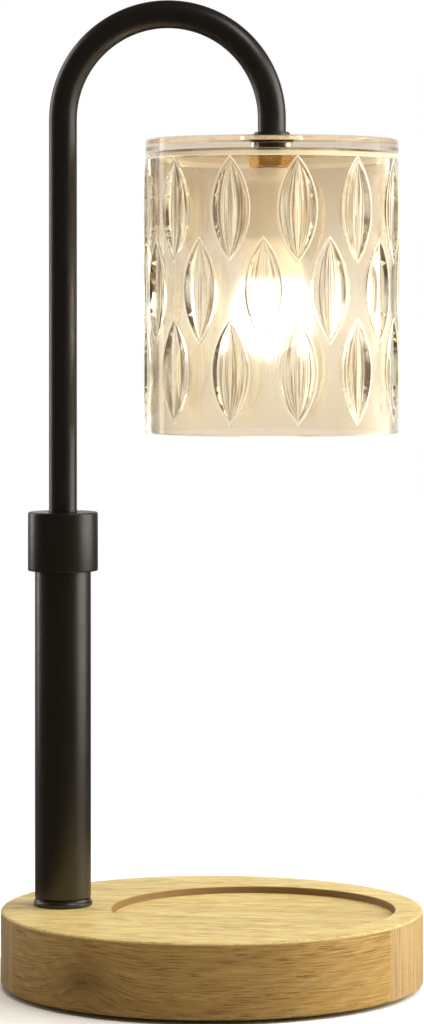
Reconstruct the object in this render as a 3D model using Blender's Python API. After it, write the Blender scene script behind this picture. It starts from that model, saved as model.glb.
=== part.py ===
"""Candle warmer lamp with a cut glass shade, a height-adjustable swan neck and a round wooden base.

Metres, +Z up. The origin lies on the table under the centre of the round base, and +X runs from
the post to the shade.
"""

import math

import bmesh
import bpy
from mathutils import Matrix, Vector
from mathutils.geometry import delaunay_2d_cdt

# Clearances
SEAT_GAP = 0.0003
RUNNING_GAP = 0.0002
CUT_OVERRUN = 0.002

# Facets round a turned piece, by size
LARGE_STEPS = 48
COLLAR_STEPS = 24
MEDIUM_STEPS = 20
SMALL_STEPS = 16
TINY_STEPS = 8
SHARP_ANGLE = math.radians(35)

# Wooden base with the dish that the candle stands in
BASE_RADIUS = 0.0750
WOOD_THICKNESS = 0.0260
BASE_EDGE_ROUND = 0.0008
DISH_RIM = 0.0100
DISH_TO_POST_FOOT = 0.0077
DISH_DEPTH = 0.0025
DISH_LIP = 0.0005

# Foot pads and the steel plate that closes the underside
PAD_RADIUS = 0.0070
PAD_HEIGHT = 0.0015
PAD_INSET = 0.0150
PAD_COUNT = 4
PLATE_THICKNESS = 0.0014
PLATE_RIM = 0.0052
PLATE_SCREW_INSET = 0.0130
PLATE_SCREW_COUNT = 4
PLATE_SCREW_ANGLE = math.radians(45)
PLATE_SCREW_LENGTH = 0.0120
PLATE_SCREW_RADIUS = 0.0016
PLATE_SCREW_HEAD_RADIUS = 0.0032
PLATE_SCREW_HEAD_HEIGHT = 0.0012

# Post: its foot, the hollow stud that bolts it down, and the tube
POST_INSET = 0.0214
POST_RADIUS = 0.0100
POST_WALL = 0.0012
POST_LENGTH = 0.1195
FOOT_FLANGE_RADIUS = 0.0105
FOOT_FLANGE_HEIGHT = 0.0024
FOOT_FLANGE_ROUND = 0.0008
FOOT_SPIGOT_HEIGHT = 0.0100
STUD_RADIUS = 0.0050
STUD_BORE = 0.0036
STUD_NUT_HEIGHT = 0.0042
STUD_NUT_FLATS = 0.0170
STUD_WASHER_RADIUS = 0.0120
STUD_WASHER_HEIGHT = 0.0013
STUD_END_SPARE = 0.0009
STUD_TOP_DEPTH = 0.0022
NUT_POCKET_RADIUS = 0.0150
NUT_POCKET_CEILING = 0.0190

# Twist lock on top of the post: threaded neck, collet and collar
NECK_SHOULDER = 0.0020
NECK_SPIGOT = 0.0155
NECK_NOSE_RADIUS = 0.0090
NECK_NOSE_HEIGHT = 0.0087
NECK_CONE_RADIUS = 0.0076
COLLAR_RADIUS = 0.0125
COLLAR_HEIGHT = 0.0210
COLLAR_SKIRT = 0.0030
COLLAR_ROUND = 0.0010
COLLET_TIP_WALL = 0.0006
COLLET_RIM_HEIGHT = 0.0006
COLLET_LEAD = 0.0011
COLLET_SLITS = 3
COLLET_SLIT_WIDTH = 0.0008
COLLET_SLIT_DEPTH = 0.0070

# Swan neck tube, the bush that guides it in the post, and the clips beside the bush
ARM_RADIUS = 0.0050
ARM_WALL = 0.0010
ARM_INSERTION = 0.0695
ARM_LEG_LENGTH = 0.2095
ARCH_RADIUS = 0.0375
ARCH_STEPS = 16
ARM_SIDES = 12
GUIDE_HEIGHT = 0.0100
GUIDE_ABOVE_END = 0.0026
CLIP_RADIUS = 0.0070
CLIP_THICKNESS = 0.0008
CLIP_MOUTH = 0.0060

# Cut glass shade
SHADE_BELOW_ARCH = 0.0073
SHADE_RADIUS = 0.0450
SHADE_HEIGHT = 0.1040
SHADE_WALL = 0.0045
SHADE_TOP_ROUND = 0.0014
SHADE_FOOT_ROUND = 0.0006
SHADE_RECESS_DEPTH = 0.0017
SHADE_RIM_WIDTH = 0.0050
SHADE_RECESS_SLOPE = 0.0030
SHADE_PLATE = 0.0026
SHADE_PLATE_FILLET = 0.0025

# Olive leaves in the outside of the shade. Each stands inside its own sunk outline.
CUTS_ROUND = 12
CUT_WIDTH_SHARE = 0.6324
CUT_HALF_LENGTH = 0.0190
CUT_DEPTH = 0.0014
CUT_ROW_PITCH = 0.0280
CUT_TOP_ROW_DROP = 0.0257
CUT_ARC_STEPS = 6
CUT_RING_SHARES = (1.0, 0.95, 0.6, 0.0)
CUT_CREST_SHARE = 0.04
CUT_TURN = math.radians(1.8)

# Fixing of the shade on the arm's threaded end
FERRULE_RADIUS = 0.0063
FERRULE_HEIGHT = 0.0022
FERRULE_ROUND = 0.0005
TOP_WASHER_RADIUS = 0.0080
TOP_WASHER_HEIGHT = 0.0007
GASKET_RADIUS = 0.0078
UPPER_GASKET_HEIGHT = 0.0005
LOWER_GASKET_HEIGHT = 0.0003
SHADE_NUT_FLATS = 0.0140
SHADE_NUT_HEIGHT = 0.0038

# Porcelain lampholder for a small screw cap
HOLDER_HEIGHT = 0.0260
HOLDER_RADIUS = 0.0125
HOLDER_CAVITY_RADIUS = 0.0080
HOLDER_ROOF = 0.0066
HOLDER_BOSS_RADIUS = 0.0070
HOLDER_BOSS_HEIGHT = 0.0040
HOLDER_SHOULDER_DROP = 0.0012
HOLDER_EDGE_ROUND = 0.0008
HOLDER_THREAD_DEPTH = 0.0032
HOLDER_WIRE_HOLE = 0.0030
SHELL_RADIUS = 0.0077
SHELL_HEIGHT = 0.0145
SHELL_DROP = 0.0030
TERMINAL_CIRCLE = 0.0103
TERMINAL_RADIUS = 0.0012
TERMINAL_HEAD_HEIGHT = 0.0008
TERMINAL_LENGTH = 0.0040
CONTACT_WIDTH = 0.0030
CONTACT_THICKNESS = 0.0004
CONTACT_REACH = 0.0072
CONTACT_BEND_DROP = 0.0006

# Bulb: 14 mm screw cap with a round thread, and a small round frosted glass
CAP_PITCH = 0.002822
CAP_MEAN_RADIUS = 0.00655
CAP_THREAD_AMPLITUDE = 0.00038
CAP_BORE = 0.00585
CAP_HEIGHT = 0.0138
CAP_ABOVE_RIM = 0.0015
THREAD_GAP = 0.0003
THREAD_STEPS = 16
THREAD_ROWS_PER_PITCH = 5
INSULATOR_HEIGHT = 0.0016
INSULATOR_TIP_RADIUS = 0.0026
TIP_RADIUS = 0.0020
TIP_HEIGHT = 0.0006
GLOBE_RADIUS = 0.0143
GLOBE_CENTRE_DROP = 0.0261
BULB_SHOULDER_RADIUS = 0.0112
BULB_NECK_RADIUS = 0.0068
BULB_STEM_RADIUS = 0.0055
BULB_STEM_HEIGHT = 0.0040
BULB_GLASS_WALL = 0.0008
MOUNT_FLARE_HEIGHT = 0.0010
MOUNT_LENGTH = 0.0120
MOUNT_TIP_RADIUS = 0.0016
FILAMENT_RADIUS = 0.0003
FILAMENT_SPREAD = 0.0058
FILAMENT_DROP = 0.0120

# Wiring inside the lamp
LEAD_RADIUS = 0.0025
LEAD_SIDES = 8
LEAD_END_BACK = 0.0012
LEAD_HEIGHT = 0.0080
LEAD_BEND = 0.0060
SLACK_SWING = 0.0045
SLACK_TURNS = 2
SLACK_STEPS = 24
SLACK_RAMPS = 4
CHANNEL_WIDTH = 0.0080
CHANNEL_CORNER_RADIUS = 0.0100
CHANNEL_CEILING = 0.0112
GLAND_ANGLE = math.radians(120)
GLAND_RADIUS = 0.0040
GLAND_FLANGE_RADIUS = 0.0055
GLAND_FLANGE_HEIGHT = 0.0016
GLAND_FLANGE_SUNK = 0.0010
GLAND_LENGTH = 0.0140
GLAND_BORE_GAP = 0.0002
GLAND_REACH = 0.0230
CLAMP_SHARE = 0.55
CLAMP_LENGTH = 0.0240
CLAMP_WIDTH = 0.0080
CLAMP_THICKNESS = 0.0015
CLAMP_SCREW_SPREAD = 0.0080
CLAMP_SCREW_RADIUS = 0.0012
CLAMP_SCREW_HEAD_RADIUS = 0.0023
CLAMP_SCREW_HEAD_HEIGHT = 0.0012
CLAMP_SCREW_LENGTH = 0.0080

# Places across the base that follow from the sizes
POST_X = POST_INSET - BASE_RADIUS
DISH_LEFT = POST_X + FOOT_FLANGE_RADIUS + DISH_TO_POST_FOOT
DISH_RIGHT = BASE_RADIUS - DISH_RIM
DISH_RADIUS = (DISH_RIGHT - DISH_LEFT) / 2
DISH_X = (DISH_RIGHT + DISH_LEFT) / 2
PAD_CIRCLE = BASE_RADIUS - PAD_INSET
PLATE_SCREW_CIRCLE = BASE_RADIUS - PLATE_SCREW_INSET
GLAND_INNER_RADIUS = BASE_RADIUS - GLAND_REACH

# Heights that follow from the sizes, from the table up
WOOD_BOTTOM = PAD_HEIGHT
WOOD_TOP = WOOD_BOTTOM + WOOD_THICKNESS
DISH_FLOOR = WOOD_TOP - DISH_DEPTH
PLATE_RADIUS = BASE_RADIUS - PLATE_RIM
PLATE_BOTTOM = PAD_HEIGHT + SEAT_GAP
PLATE_TOP = PLATE_BOTTOM + PLATE_THICKNESS
PLATE_RECESS_TOP = PLATE_TOP + SEAT_GAP
POCKET_TOP = WOOD_BOTTOM + NUT_POCKET_CEILING
FLANGE_BOTTOM = WOOD_TOP + SEAT_GAP
FLANGE_TOP = FLANGE_BOTTOM + FOOT_FLANGE_HEIGHT
FOOT_TOP = FLANGE_TOP + FOOT_SPIGOT_HEIGHT
POST_BOTTOM = FLANGE_TOP + SEAT_GAP
POST_TOP = POST_BOTTOM + POST_LENGTH
POST_BORE = POST_RADIUS - POST_WALL
WASHER_TOP = POCKET_TOP - SEAT_GAP
WASHER_BOTTOM = WASHER_TOP - STUD_WASHER_HEIGHT
NUT_TOP = WASHER_BOTTOM - SEAT_GAP
NUT_BOTTOM = NUT_TOP - STUD_NUT_HEIGHT
STUD_BOTTOM = NUT_BOTTOM - STUD_END_SPARE
STUD_TOP = FOOT_TOP - STUD_TOP_DEPTH
SHOULDER_BOTTOM = POST_TOP + SEAT_GAP
SHOULDER_TOP = SHOULDER_BOTTOM + NECK_SHOULDER
NECK_BOTTOM = SHOULDER_BOTTOM - NECK_SPIGOT
NOSE_TOP = SHOULDER_TOP + NECK_NOSE_HEIGHT
COLLAR_BOTTOM = POST_TOP - COLLAR_SKIRT
COLLAR_TOP = COLLAR_BOTTOM + COLLAR_HEIGHT
ARM_BORE = ARM_RADIUS - ARM_WALL
ARM_BOTTOM = COLLAR_TOP - ARM_INSERTION
ARCH_Z = ARM_BOTTOM + ARM_LEG_LENGTH
SHADE_X = POST_X + 2 * ARCH_RADIUS
GUIDE_BOTTOM = ARM_BOTTOM + GUIDE_ABOVE_END
GUIDE_TOP = GUIDE_BOTTOM + GUIDE_HEIGHT
SHADE_TOP = ARCH_Z - SHADE_BELOW_ARCH
SHADE_BOTTOM = SHADE_TOP - SHADE_HEIGHT
SHADE_SEAT = SHADE_TOP - SHADE_RECESS_DEPTH
SHADE_UNDER = SHADE_SEAT - SHADE_PLATE
SHADE_HOLE = ARM_RADIUS + SEAT_GAP
UPPER_GASKET_BOTTOM = SHADE_SEAT + SEAT_GAP
TOP_WASHER_BOTTOM = UPPER_GASKET_BOTTOM + UPPER_GASKET_HEIGHT + SEAT_GAP
FERRULE_BOTTOM = TOP_WASHER_BOTTOM + TOP_WASHER_HEIGHT + SEAT_GAP
LOWER_GASKET_BOTTOM = SHADE_UNDER - SEAT_GAP - LOWER_GASKET_HEIGHT
SHADE_NUT_BOTTOM = LOWER_GASKET_BOTTOM - SEAT_GAP - SHADE_NUT_HEIGHT
HOLDER_TOP = SHADE_NUT_BOTTOM - SEAT_GAP
HOLDER_BOTTOM = HOLDER_TOP - HOLDER_HEIGHT
HOLDER_THREAD_END = HOLDER_TOP - HOLDER_THREAD_DEPTH
HOLDER_CAVITY_TOP = HOLDER_TOP - HOLDER_ROOF
ARM_END = HOLDER_THREAD_END + SEAT_GAP
CAP_BOTTOM = HOLDER_BOTTOM + CAP_ABOVE_RIM
CAP_TOP = CAP_BOTTOM + CAP_HEIGHT
SHELL_BOTTOM = HOLDER_BOTTOM + SHELL_DROP
INSULATOR_BOTTOM = CAP_TOP + SEAT_GAP
INSULATOR_TOP = INSULATOR_BOTTOM + INSULATOR_HEIGHT
TIP_BOTTOM = INSULATOR_TOP + SEAT_GAP
TIP_TOP = TIP_BOTTOM + TIP_HEIGHT
CONTACT_LOW = TIP_TOP + SEAT_GAP
GLOBE_CENTRE = HOLDER_BOTTOM - GLOBE_CENTRE_DROP
CUT_SECTOR = SHADE_RADIUS * math.pi / CUTS_ROUND
CUT_HALF_WIDTH = CUT_SECTOR * CUT_WIDTH_SHARE
GLASS_TOP = CAP_BOTTOM + BULB_STEM_HEIGHT
LEAD_TURN_Z = PAD_HEIGHT + LEAD_HEIGHT
GLAND_DIRECTION = Vector((math.cos(GLAND_ANGLE), math.sin(GLAND_ANGLE), 0.0))


# Materials

def material(name, colour, roughness, metallic=0.0, transmission=0.0):
    made = bpy.data.materials.new(name)
    made.use_nodes = True
    shader = made.node_tree.nodes["Principled BSDF"]
    shader.inputs["Base Color"].default_value = (*colour, 1.0)
    shader.inputs["Roughness"].default_value = roughness
    shader.inputs["Metallic"].default_value = metallic
    shader.inputs["Transmission Weight"].default_value = transmission
    made.diffuse_color = (*colour, 1.0)
    return made


def make_materials():
    return {
        "wood": material("pale_wood", (0.62, 0.42, 0.19), 0.55),
        "black": material("black_powder_coat", (0.012, 0.011, 0.010), 0.38, 0.3),
        "plate": material("black_steel_plate", (0.02, 0.02, 0.02), 0.5, 0.6),
        "steel": material("zinc_steel", (0.60, 0.61, 0.62), 0.35, 1.0),
        "rubber": material("black_rubber", (0.02, 0.02, 0.02), 0.85),
        "nylon": material("white_nylon", (0.80, 0.79, 0.75), 0.45),
        "glass": material("warm_cut_glass", (0.93, 0.86, 0.75), 0.02, 0.0, 1.0),
        "silicone": material("clear_silicone", (0.85, 0.83, 0.78), 0.5),
        "brass": material("brass", (0.75, 0.52, 0.24), 0.30, 1.0),
        "porcelain": material("cream_porcelain", (0.84, 0.79, 0.68), 0.25),
        "nickel": material("nickel_cap", (0.72, 0.70, 0.66), 0.28, 1.0),
        "frosted": material("frosted_bulb_glass", (1.0, 0.93, 0.80), 0.5, 0.0, 0.6),
        "black_glass": material("black_glass", (0.02, 0.02, 0.03), 0.2),
        "tungsten": material("tungsten", (0.35, 0.33, 0.30), 0.4, 1.0),
        "lead": material("brown_lead_sheath", (0.05, 0.045, 0.04), 0.6),
    }


# Helpers that make named solids

def place_object(name, data, location, parent=None):
    """An object at a world location, under its parent empty if it has one."""
    made = bpy.data.objects.new(name, data)
    bpy.context.scene.collection.objects.link(made)
    place = Vector(location)
    if parent is not None:
        made.parent = parent
        place = place - parent.matrix_world.translation
    made.location = place
    return made


def pivot(name, location, parent=None):
    """An empty on a joint's axis, which its moving pieces hang under."""
    made = place_object(name, None, location, parent)
    bpy.context.view_layer.update()
    return made


def finish_object(name, bm, finish, location, parent=None):
    """A named object with a smooth-shaded mesh made from bm."""
    bmesh.ops.recalc_face_normals(bm, faces=bm.faces)
    mesh = bpy.data.meshes.new(name)
    bm.to_mesh(mesh)
    bm.free()
    mesh.shade_smooth()
    mesh.set_sharp_from_angle(angle=SHARP_ANGLE)
    if finish is not None:
        mesh.materials.append(finish)
    return place_object(name, mesh, location, parent)


def repeated(name, bm, places, finish, centre=(0.0, 0.0), parent=None):
    """Equal pieces that share one mesh, one object at each place, a matrix measured from centre."""
    start = Vector((*centre, 0.0))
    made = [finish_object(f"{name}_1", bm, finish, start + places[0].translation, parent)]
    for number, place in enumerate(places[1:], 2):
        made.append(
            place_object(f"{name}_{number}", made[0].data, start + place.translation, parent))
    return made


def turned_shape(profile, steps):
    """A bmesh turned round Z from (radius, height) points. It closes on itself or on the axis."""
    bm = bmesh.new()
    points = [bm.verts.new((radius, 0.0, height)) for radius, height in profile]
    for here, there in zip(points, points[1:] + points[:1]):
        if max(here.co.x, there.co.x) > 0.0:
            bm.edges.new((here, there))
    bmesh.ops.spin(
        bm, geom=bm.verts[:] + bm.edges[:], cent=(0, 0, 0), axis=(0, 0, 1),
        angle=math.tau, steps=steps, use_merge=True,
    )
    bmesh.ops.remove_doubles(bm, verts=bm.verts, dist=1e-6)
    return bm


def turned(name, profile, finish, centre, steps, parent=None):
    return finish_object(name, turned_shape(profile, steps), finish, (*centre, 0.0), parent)


def prism_shape(outline, bottom, top):
    """An outline in X and Y, extruded from one height to another."""
    bm = bmesh.new()
    face = bm.faces.new([bm.verts.new((x, y, bottom)) for x, y in outline])
    grown = bmesh.ops.extrude_face_region(bm, geom=[face])
    raised = [v for v in grown["geom"] if isinstance(v, bmesh.types.BMVert)]
    bmesh.ops.translate(bm, verts=raised, vec=(0, 0, top - bottom))
    return bm


def circle(radius, steps, centre=(0.0, 0.0)):
    return [
        (centre[0] + radius * math.cos(math.tau * i / steps),
         centre[1] + radius * math.sin(math.tau * i / steps))
        for i in range(steps)
    ]


def open_ring(inner, outer, mouth, steps):
    """The outline of a ring whose mouth opens towards +X."""
    points = []
    for radius, way in ((outer, 1), (inner, -1)):
        start = math.asin(mouth / 2 / radius)
        for i in range(steps + 1):
            angle = way * (start + (math.tau - 2 * start) * i / steps)
            points.append((radius * math.cos(angle), radius * math.sin(angle)))
    return points


def hexagon(across_flats):
    return circle(across_flats / 2 / math.cos(math.pi / 6), 6)


def box_outline(length, width):
    return [
        (-length / 2, -width / 2), (length / 2, -width / 2),
        (length / 2, width / 2), (-length / 2, width / 2),
    ]


def copies(shape, places):
    """One bmesh that holds a copy of shape at each place, a matrix."""
    mesh = bpy.data.meshes.new("copied")
    shape.to_mesh(mesh)
    shape.free()
    bm = bmesh.new()
    for place in places:
        held = mesh.copy()
        held.transform(place)
        bm.from_mesh(held)
        bpy.data.meshes.remove(held)
    bpy.data.meshes.remove(mesh)
    return bm


def spots(radius, count, first_angle, height=0.0):
    return [
        Matrix.Translation((
            radius * math.cos(first_angle + math.tau * i / count),
            radius * math.sin(first_angle + math.tau * i / count),
            height,
        ))
        for i in range(count)
    ]


def tube_shape(path, outer, inner, sides):
    """A tube, or a rod where inner is None, along points that lie in one plane or bend gently."""
    bm = bmesh.new()
    radii = [outer] if inner is None else [outer, inner]
    across = None
    rings = []
    for index, point in enumerate(path):
        ahead = path[min(index + 1, len(path) - 1)] - path[max(index - 1, 0)]
        along = ahead.normalized()
        if across is None:
            guess = Vector((0, 1, 0)) if abs(along.y) < 0.9 else Vector((1, 0, 0))
            across = (guess - guess.dot(along) * along).normalized()
        across = (across - across.dot(along) * along).normalized()
        other = along.cross(across)
        rings.append([
            [
                bm.verts.new(
                    point
                    + radius * math.cos(math.tau * k / sides) * across
                    + radius * math.sin(math.tau * k / sides) * other
                )
                for k in range(sides)
            ]
            for radius in radii
        ])
    for wall in range(len(radii)):
        for before, after in zip(rings, rings[1:]):
            for k in range(sides):
                n = (k + 1) % sides
                bm.faces.new((before[wall][k], before[wall][n], after[wall][n], after[wall][k]))
    for ends in (rings[0], rings[-1]):
        if inner is None:
            bm.faces.new(ends[0])
            continue
        for k in range(sides):
            n = (k + 1) % sides
            bm.faces.new((ends[0][k], ends[0][n], ends[1][n], ends[1][k]))
    return bm


def cutter(name, bm, location=(0.0, 0.0, 0.0), parent=None):
    made = finish_object(name, bm, None, location, parent)
    made.hide_render = True
    made.display_type = "WIRE"
    return made


def cut(target, *tools):
    """Cuts every tool from target. The tools stay as wire helpers, which are no part of the lamp."""
    for tool in tools:
        change = target.modifiers.new(tool.name, "BOOLEAN")
        change.operation = "DIFFERENCE"
        change.solver = "EXACT"
        change.object = tool


def rounded(radius, height, amount, inward, upward):
    """Three points round a corner at (radius, height), from its side face to its end face."""
    lean = amount * (1 - math.cos(math.pi / 4))
    return [
        (radius, height - upward * amount),
        (radius - inward * lean, height - upward * lean),
        (radius - inward * amount, height),
    ]


# Base

def gland_matrix():
    """Turns a piece made along Z so that it points out of the base along the cord's inlet."""
    turn = GLAND_DIRECTION.to_track_quat("Z", "Y").to_matrix().to_4x4()
    return Matrix.Translation((0, 0, LEAD_TURN_Z)) @ turn


def channel_start():
    return Vector((POST_X, 0.0, LEAD_TURN_Z))


def channel_end():
    return GLAND_DIRECTION * GLAND_INNER_RADIUS + Vector((0, 0, LEAD_TURN_Z))


def channel_matrix(share):
    """A place along the wiring channel under the base, turned to lie along it, at height zero."""
    start, end = channel_start(), channel_end()
    point = start.lerp(end, share)
    turn = Matrix.Rotation(math.atan2(end.y - start.y, end.x - start.x), 4, "Z")
    return Matrix.Translation((point.x, point.y, 0.0)) @ turn


def build_wood_base(finish):
    profile = [(0.0, WOOD_BOTTOM)]
    profile += rounded(BASE_RADIUS, WOOD_BOTTOM, BASE_EDGE_ROUND, 1, -1)[::-1]
    profile += rounded(BASE_RADIUS, WOOD_TOP, BASE_EDGE_ROUND, 1, 1)
    profile += [(0.0, WOOD_TOP)]
    base = turned("wood_base", profile, finish, (0.0, 0.0), LARGE_STEPS)

    over = WOOD_TOP + CUT_OVERRUN
    under = WOOD_BOTTOM - CUT_OVERRUN
    dish = turned_shape([
        (0.0, DISH_FLOOR), (DISH_RADIUS, DISH_FLOOR), (DISH_RADIUS, WOOD_TOP - DISH_LIP),
        (DISH_RADIUS + DISH_LIP, WOOD_TOP), (DISH_RADIUS + DISH_LIP, over), (0.0, over),
    ], LARGE_STEPS)
    dish.transform(Matrix.Translation((DISH_X, 0, 0)))
    recess = prism_shape(
        circle(PLATE_RADIUS + SEAT_GAP, LARGE_STEPS), under, PLATE_RECESS_TOP)
    at_post = (POST_X, 0.0)
    pocket = prism_shape(circle(NUT_POCKET_RADIUS, MEDIUM_STEPS, at_post), under, POCKET_TOP)
    hole = prism_shape(circle(STUD_RADIUS + SEAT_GAP, SMALL_STEPS, at_post), under, over)

    run = (channel_end() - channel_start()).length
    channel = prism_shape(
        box_outline(run + CHANNEL_WIDTH, CHANNEL_WIDTH), under, WOOD_BOTTOM + CHANNEL_CEILING)
    channel.transform(channel_matrix(0.5))
    corner = channel_end()
    turn_pocket = prism_shape(
        circle(CHANNEL_CORNER_RADIUS, MEDIUM_STEPS, (corner.x, corner.y)),
        under, WOOD_BOTTOM + CHANNEL_CEILING + SEAT_GAP)
    clamp_roof = LEAD_TURN_Z - LEAD_RADIUS
    clamp_pocket = prism_shape(
        box_outline(CLAMP_WIDTH + 4 * SEAT_GAP, CLAMP_LENGTH + 4 * SEAT_GAP), under, clamp_roof)
    clamp_pocket.transform(channel_matrix(CLAMP_SHARE))

    bore = GLAND_RADIUS + GLAND_BORE_GAP
    seat = BASE_RADIUS - GLAND_FLANGE_SUNK
    spot_face = GLAND_FLANGE_RADIUS + SEAT_GAP
    inlet = turned_shape([
        (0.0, GLAND_INNER_RADIUS), (bore, GLAND_INNER_RADIUS), (bore, seat), (spot_face, seat),
        (spot_face, BASE_RADIUS + CUT_OVERRUN), (0.0, BASE_RADIUS + CUT_OVERRUN),
    ], SMALL_STEPS)
    inlet.transform(gland_matrix())

    pilot = prism_shape(
        circle(PLATE_SCREW_RADIUS + SEAT_GAP, TINY_STEPS),
        under, PLATE_BOTTOM + PLATE_SCREW_LENGTH + SEAT_GAP)
    pilots = copies(pilot, spots(PLATE_SCREW_CIRCLE, PLATE_SCREW_COUNT, PLATE_SCREW_ANGLE))
    clamp_pilot = prism_shape(
        circle(CLAMP_SCREW_RADIUS + SEAT_GAP, TINY_STEPS),
        under, clamp_screw_bottom() + CLAMP_SCREW_LENGTH + SEAT_GAP)
    clamp_pilots = copies(clamp_pilot, clamp_screw_places())

    tools = {
        "gland_inlet_cut": inlet, "dish_cut": dish, "plate_recess_cut": recess, "nut_pocket_cut": pocket,
        "stud_hole_cut": hole, "channel_cut": channel, "channel_corner_cut": turn_pocket,
        "clamp_pocket_cut": clamp_pocket,
        "plate_pilot_cut": pilots, "clamp_pilot_cut": clamp_pilots,
    }
    cut(base, *(cutter(name, bm) for name, bm in tools.items()))
    return base


def build_underside(finishes):
    plate = finish_object(
        "bottom_plate", prism_shape(circle(PLATE_RADIUS, LARGE_STEPS), PLATE_BOTTOM, PLATE_TOP),
        finishes["plate"], (0, 0, 0))
    clear = PLATE_SCREW_RADIUS + SEAT_GAP
    head = PLATE_SCREW_HEAD_RADIUS + SEAT_GAP
    cone = turned_shape([
        (0.0, PLATE_BOTTOM - CUT_OVERRUN), (head, PLATE_BOTTOM - CUT_OVERRUN), (head, PLATE_BOTTOM),
        (clear, PLATE_BOTTOM + PLATE_SCREW_HEAD_HEIGHT),
        (clear, PLATE_TOP + CUT_OVERRUN), (0.0, PLATE_TOP + CUT_OVERRUN),
    ], TINY_STEPS)
    places = spots(PLATE_SCREW_CIRCLE, PLATE_SCREW_COUNT, PLATE_SCREW_ANGLE)
    cut(plate, cutter("plate_screw_cut", copies(cone, places)))

    screw = turned_shape([
        (0.0, PLATE_BOTTOM), (PLATE_SCREW_HEAD_RADIUS, PLATE_BOTTOM),
        (PLATE_SCREW_RADIUS, PLATE_BOTTOM + PLATE_SCREW_HEAD_HEIGHT),
        (PLATE_SCREW_RADIUS, PLATE_BOTTOM + PLATE_SCREW_LENGTH - PLATE_SCREW_RADIUS),
        (0.0, PLATE_BOTTOM + PLATE_SCREW_LENGTH),
    ], TINY_STEPS)
    repeated("plate_screw", screw, places, finishes["steel"])

    pad = turned_shape(
        [(0.0, 0.0), (PAD_RADIUS, 0.0), (PAD_RADIUS, PAD_HEIGHT), (0.0, PAD_HEIGHT)], MEDIUM_STEPS)
    repeated("foot_pad", pad, spots(PAD_CIRCLE, PAD_COUNT, 0.0), finishes["rubber"])


def clamp_bar_top():
    return LEAD_TURN_Z - LEAD_RADIUS - SEAT_GAP


def clamp_screw_bottom():
    """Underside of the clamp screws' heads."""
    return clamp_bar_top() - CLAMP_THICKNESS - SEAT_GAP - CLAMP_SCREW_HEAD_HEIGHT


def clamp_screw_places():
    return [
        channel_matrix(CLAMP_SHARE) @ Matrix.Translation((0, side * CLAMP_SCREW_SPREAD, 0))
        for side in (-1, 1)
    ]


def build_cord_inlet(finishes):
    """The gland that the supply cord enters by, and the clamp that holds it inside the base."""
    seat = BASE_RADIUS - GLAND_FLANGE_SUNK + SEAT_GAP
    bore = LEAD_RADIUS + SEAT_GAP
    gland = turned_shape([
        (bore, seat - GLAND_LENGTH), (GLAND_RADIUS, seat - GLAND_LENGTH), (GLAND_RADIUS, seat),
        (GLAND_FLANGE_RADIUS, seat),
        (GLAND_FLANGE_RADIUS, seat + GLAND_FLANGE_HEIGHT / 2),
        (GLAND_RADIUS, seat + GLAND_FLANGE_HEIGHT), (bore, seat + GLAND_FLANGE_HEIGHT),
    ], SMALL_STEPS)
    gland.transform(gland_matrix())
    finish_object("cord_gland", gland, finishes["rubber"], (0, 0, 0))

    top = clamp_bar_top()
    bar = prism_shape(box_outline(CLAMP_WIDTH, CLAMP_LENGTH), top - CLAMP_THICKNESS, top)
    bar.transform(channel_matrix(CLAMP_SHARE))
    clamp = finish_object("cord_clamp", bar, finishes["nylon"], (0, 0, 0))
    hole = prism_shape(
        circle(CLAMP_SCREW_RADIUS + SEAT_GAP, TINY_STEPS),
        top - CLAMP_THICKNESS - CUT_OVERRUN, top + CUT_OVERRUN)
    cut(clamp, cutter("clamp_hole_cut", copies(hole, clamp_screw_places())))

    low = clamp_screw_bottom()
    shank = low + CLAMP_SCREW_HEAD_HEIGHT
    screw = turned_shape([
        (0.0, low), (CLAMP_SCREW_HEAD_RADIUS, low), (CLAMP_SCREW_HEAD_RADIUS, shank),
        (CLAMP_SCREW_RADIUS, shank),
        (CLAMP_SCREW_RADIUS, low + CLAMP_SCREW_LENGTH - CLAMP_SCREW_RADIUS),
        (0.0, low + CLAMP_SCREW_LENGTH),
    ], TINY_STEPS)
    repeated("clamp_screw", screw, clamp_screw_places(), finishes["steel"])


def bend(corner, back, ahead, radius, steps=6):
    """Points of a smooth bend where a route turns at corner, from the point back to the one ahead."""
    start = corner + (back - corner).normalized() * radius
    end = corner + (ahead - corner).normalized() * radius
    return [
        start.lerp(corner, i / steps).lerp(corner.lerp(end, i / steps), i / steps)
        for i in range(steps + 1)
    ]


def build_base_wiring(finish):
    """The supply lead inside the base, and its slack length in the post, which folds as the arm drops."""
    mouth = GLAND_DIRECTION * (BASE_RADIUS - GLAND_LENGTH / 2) + Vector((0, 0, LEAD_TURN_Z))
    top = Vector((POST_X, 0.0, STUD_TOP - LEAD_END_BACK))
    path = [mouth]
    path += bend(channel_end(), mouth, channel_start(), LEAD_BEND * 2)
    path += bend(channel_start(), channel_end(), top, LEAD_BEND)
    path += [top]
    rod = tube_shape(path, LEAD_RADIUS, None, LEAD_SIDES)
    finish_object("base_lead", rod, finish, (0, 0, 0))

    slack = tube_shape(
        slack_path(top.z + SEAT_GAP, ARM_BOTTOM - SEAT_GAP), LEAD_RADIUS, None, LEAD_SIDES)
    finish_object("post_lead", slack, finish, (POST_X, 0, 0))


def slack_path(low, high):
    """A loose spiral inside the post, with a straight end where it meets the lead below and above."""
    start, end = low + 2 * LEAD_RADIUS, high - 2 * LEAD_RADIUS
    path = [Vector((0, 0, low))]
    for i in range(SLACK_STEPS + 1):
        share = i / SLACK_STEPS
        swing = SLACK_SWING * min(1.0, SLACK_RAMPS * share, SLACK_RAMPS * (1 - share))
        angle = math.tau * SLACK_TURNS * share
        path.append(Vector((
            swing * math.cos(angle), swing * math.sin(angle), start + (end - start) * share)))
    path.append(Vector((0, 0, high)))
    return path


# Post

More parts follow.
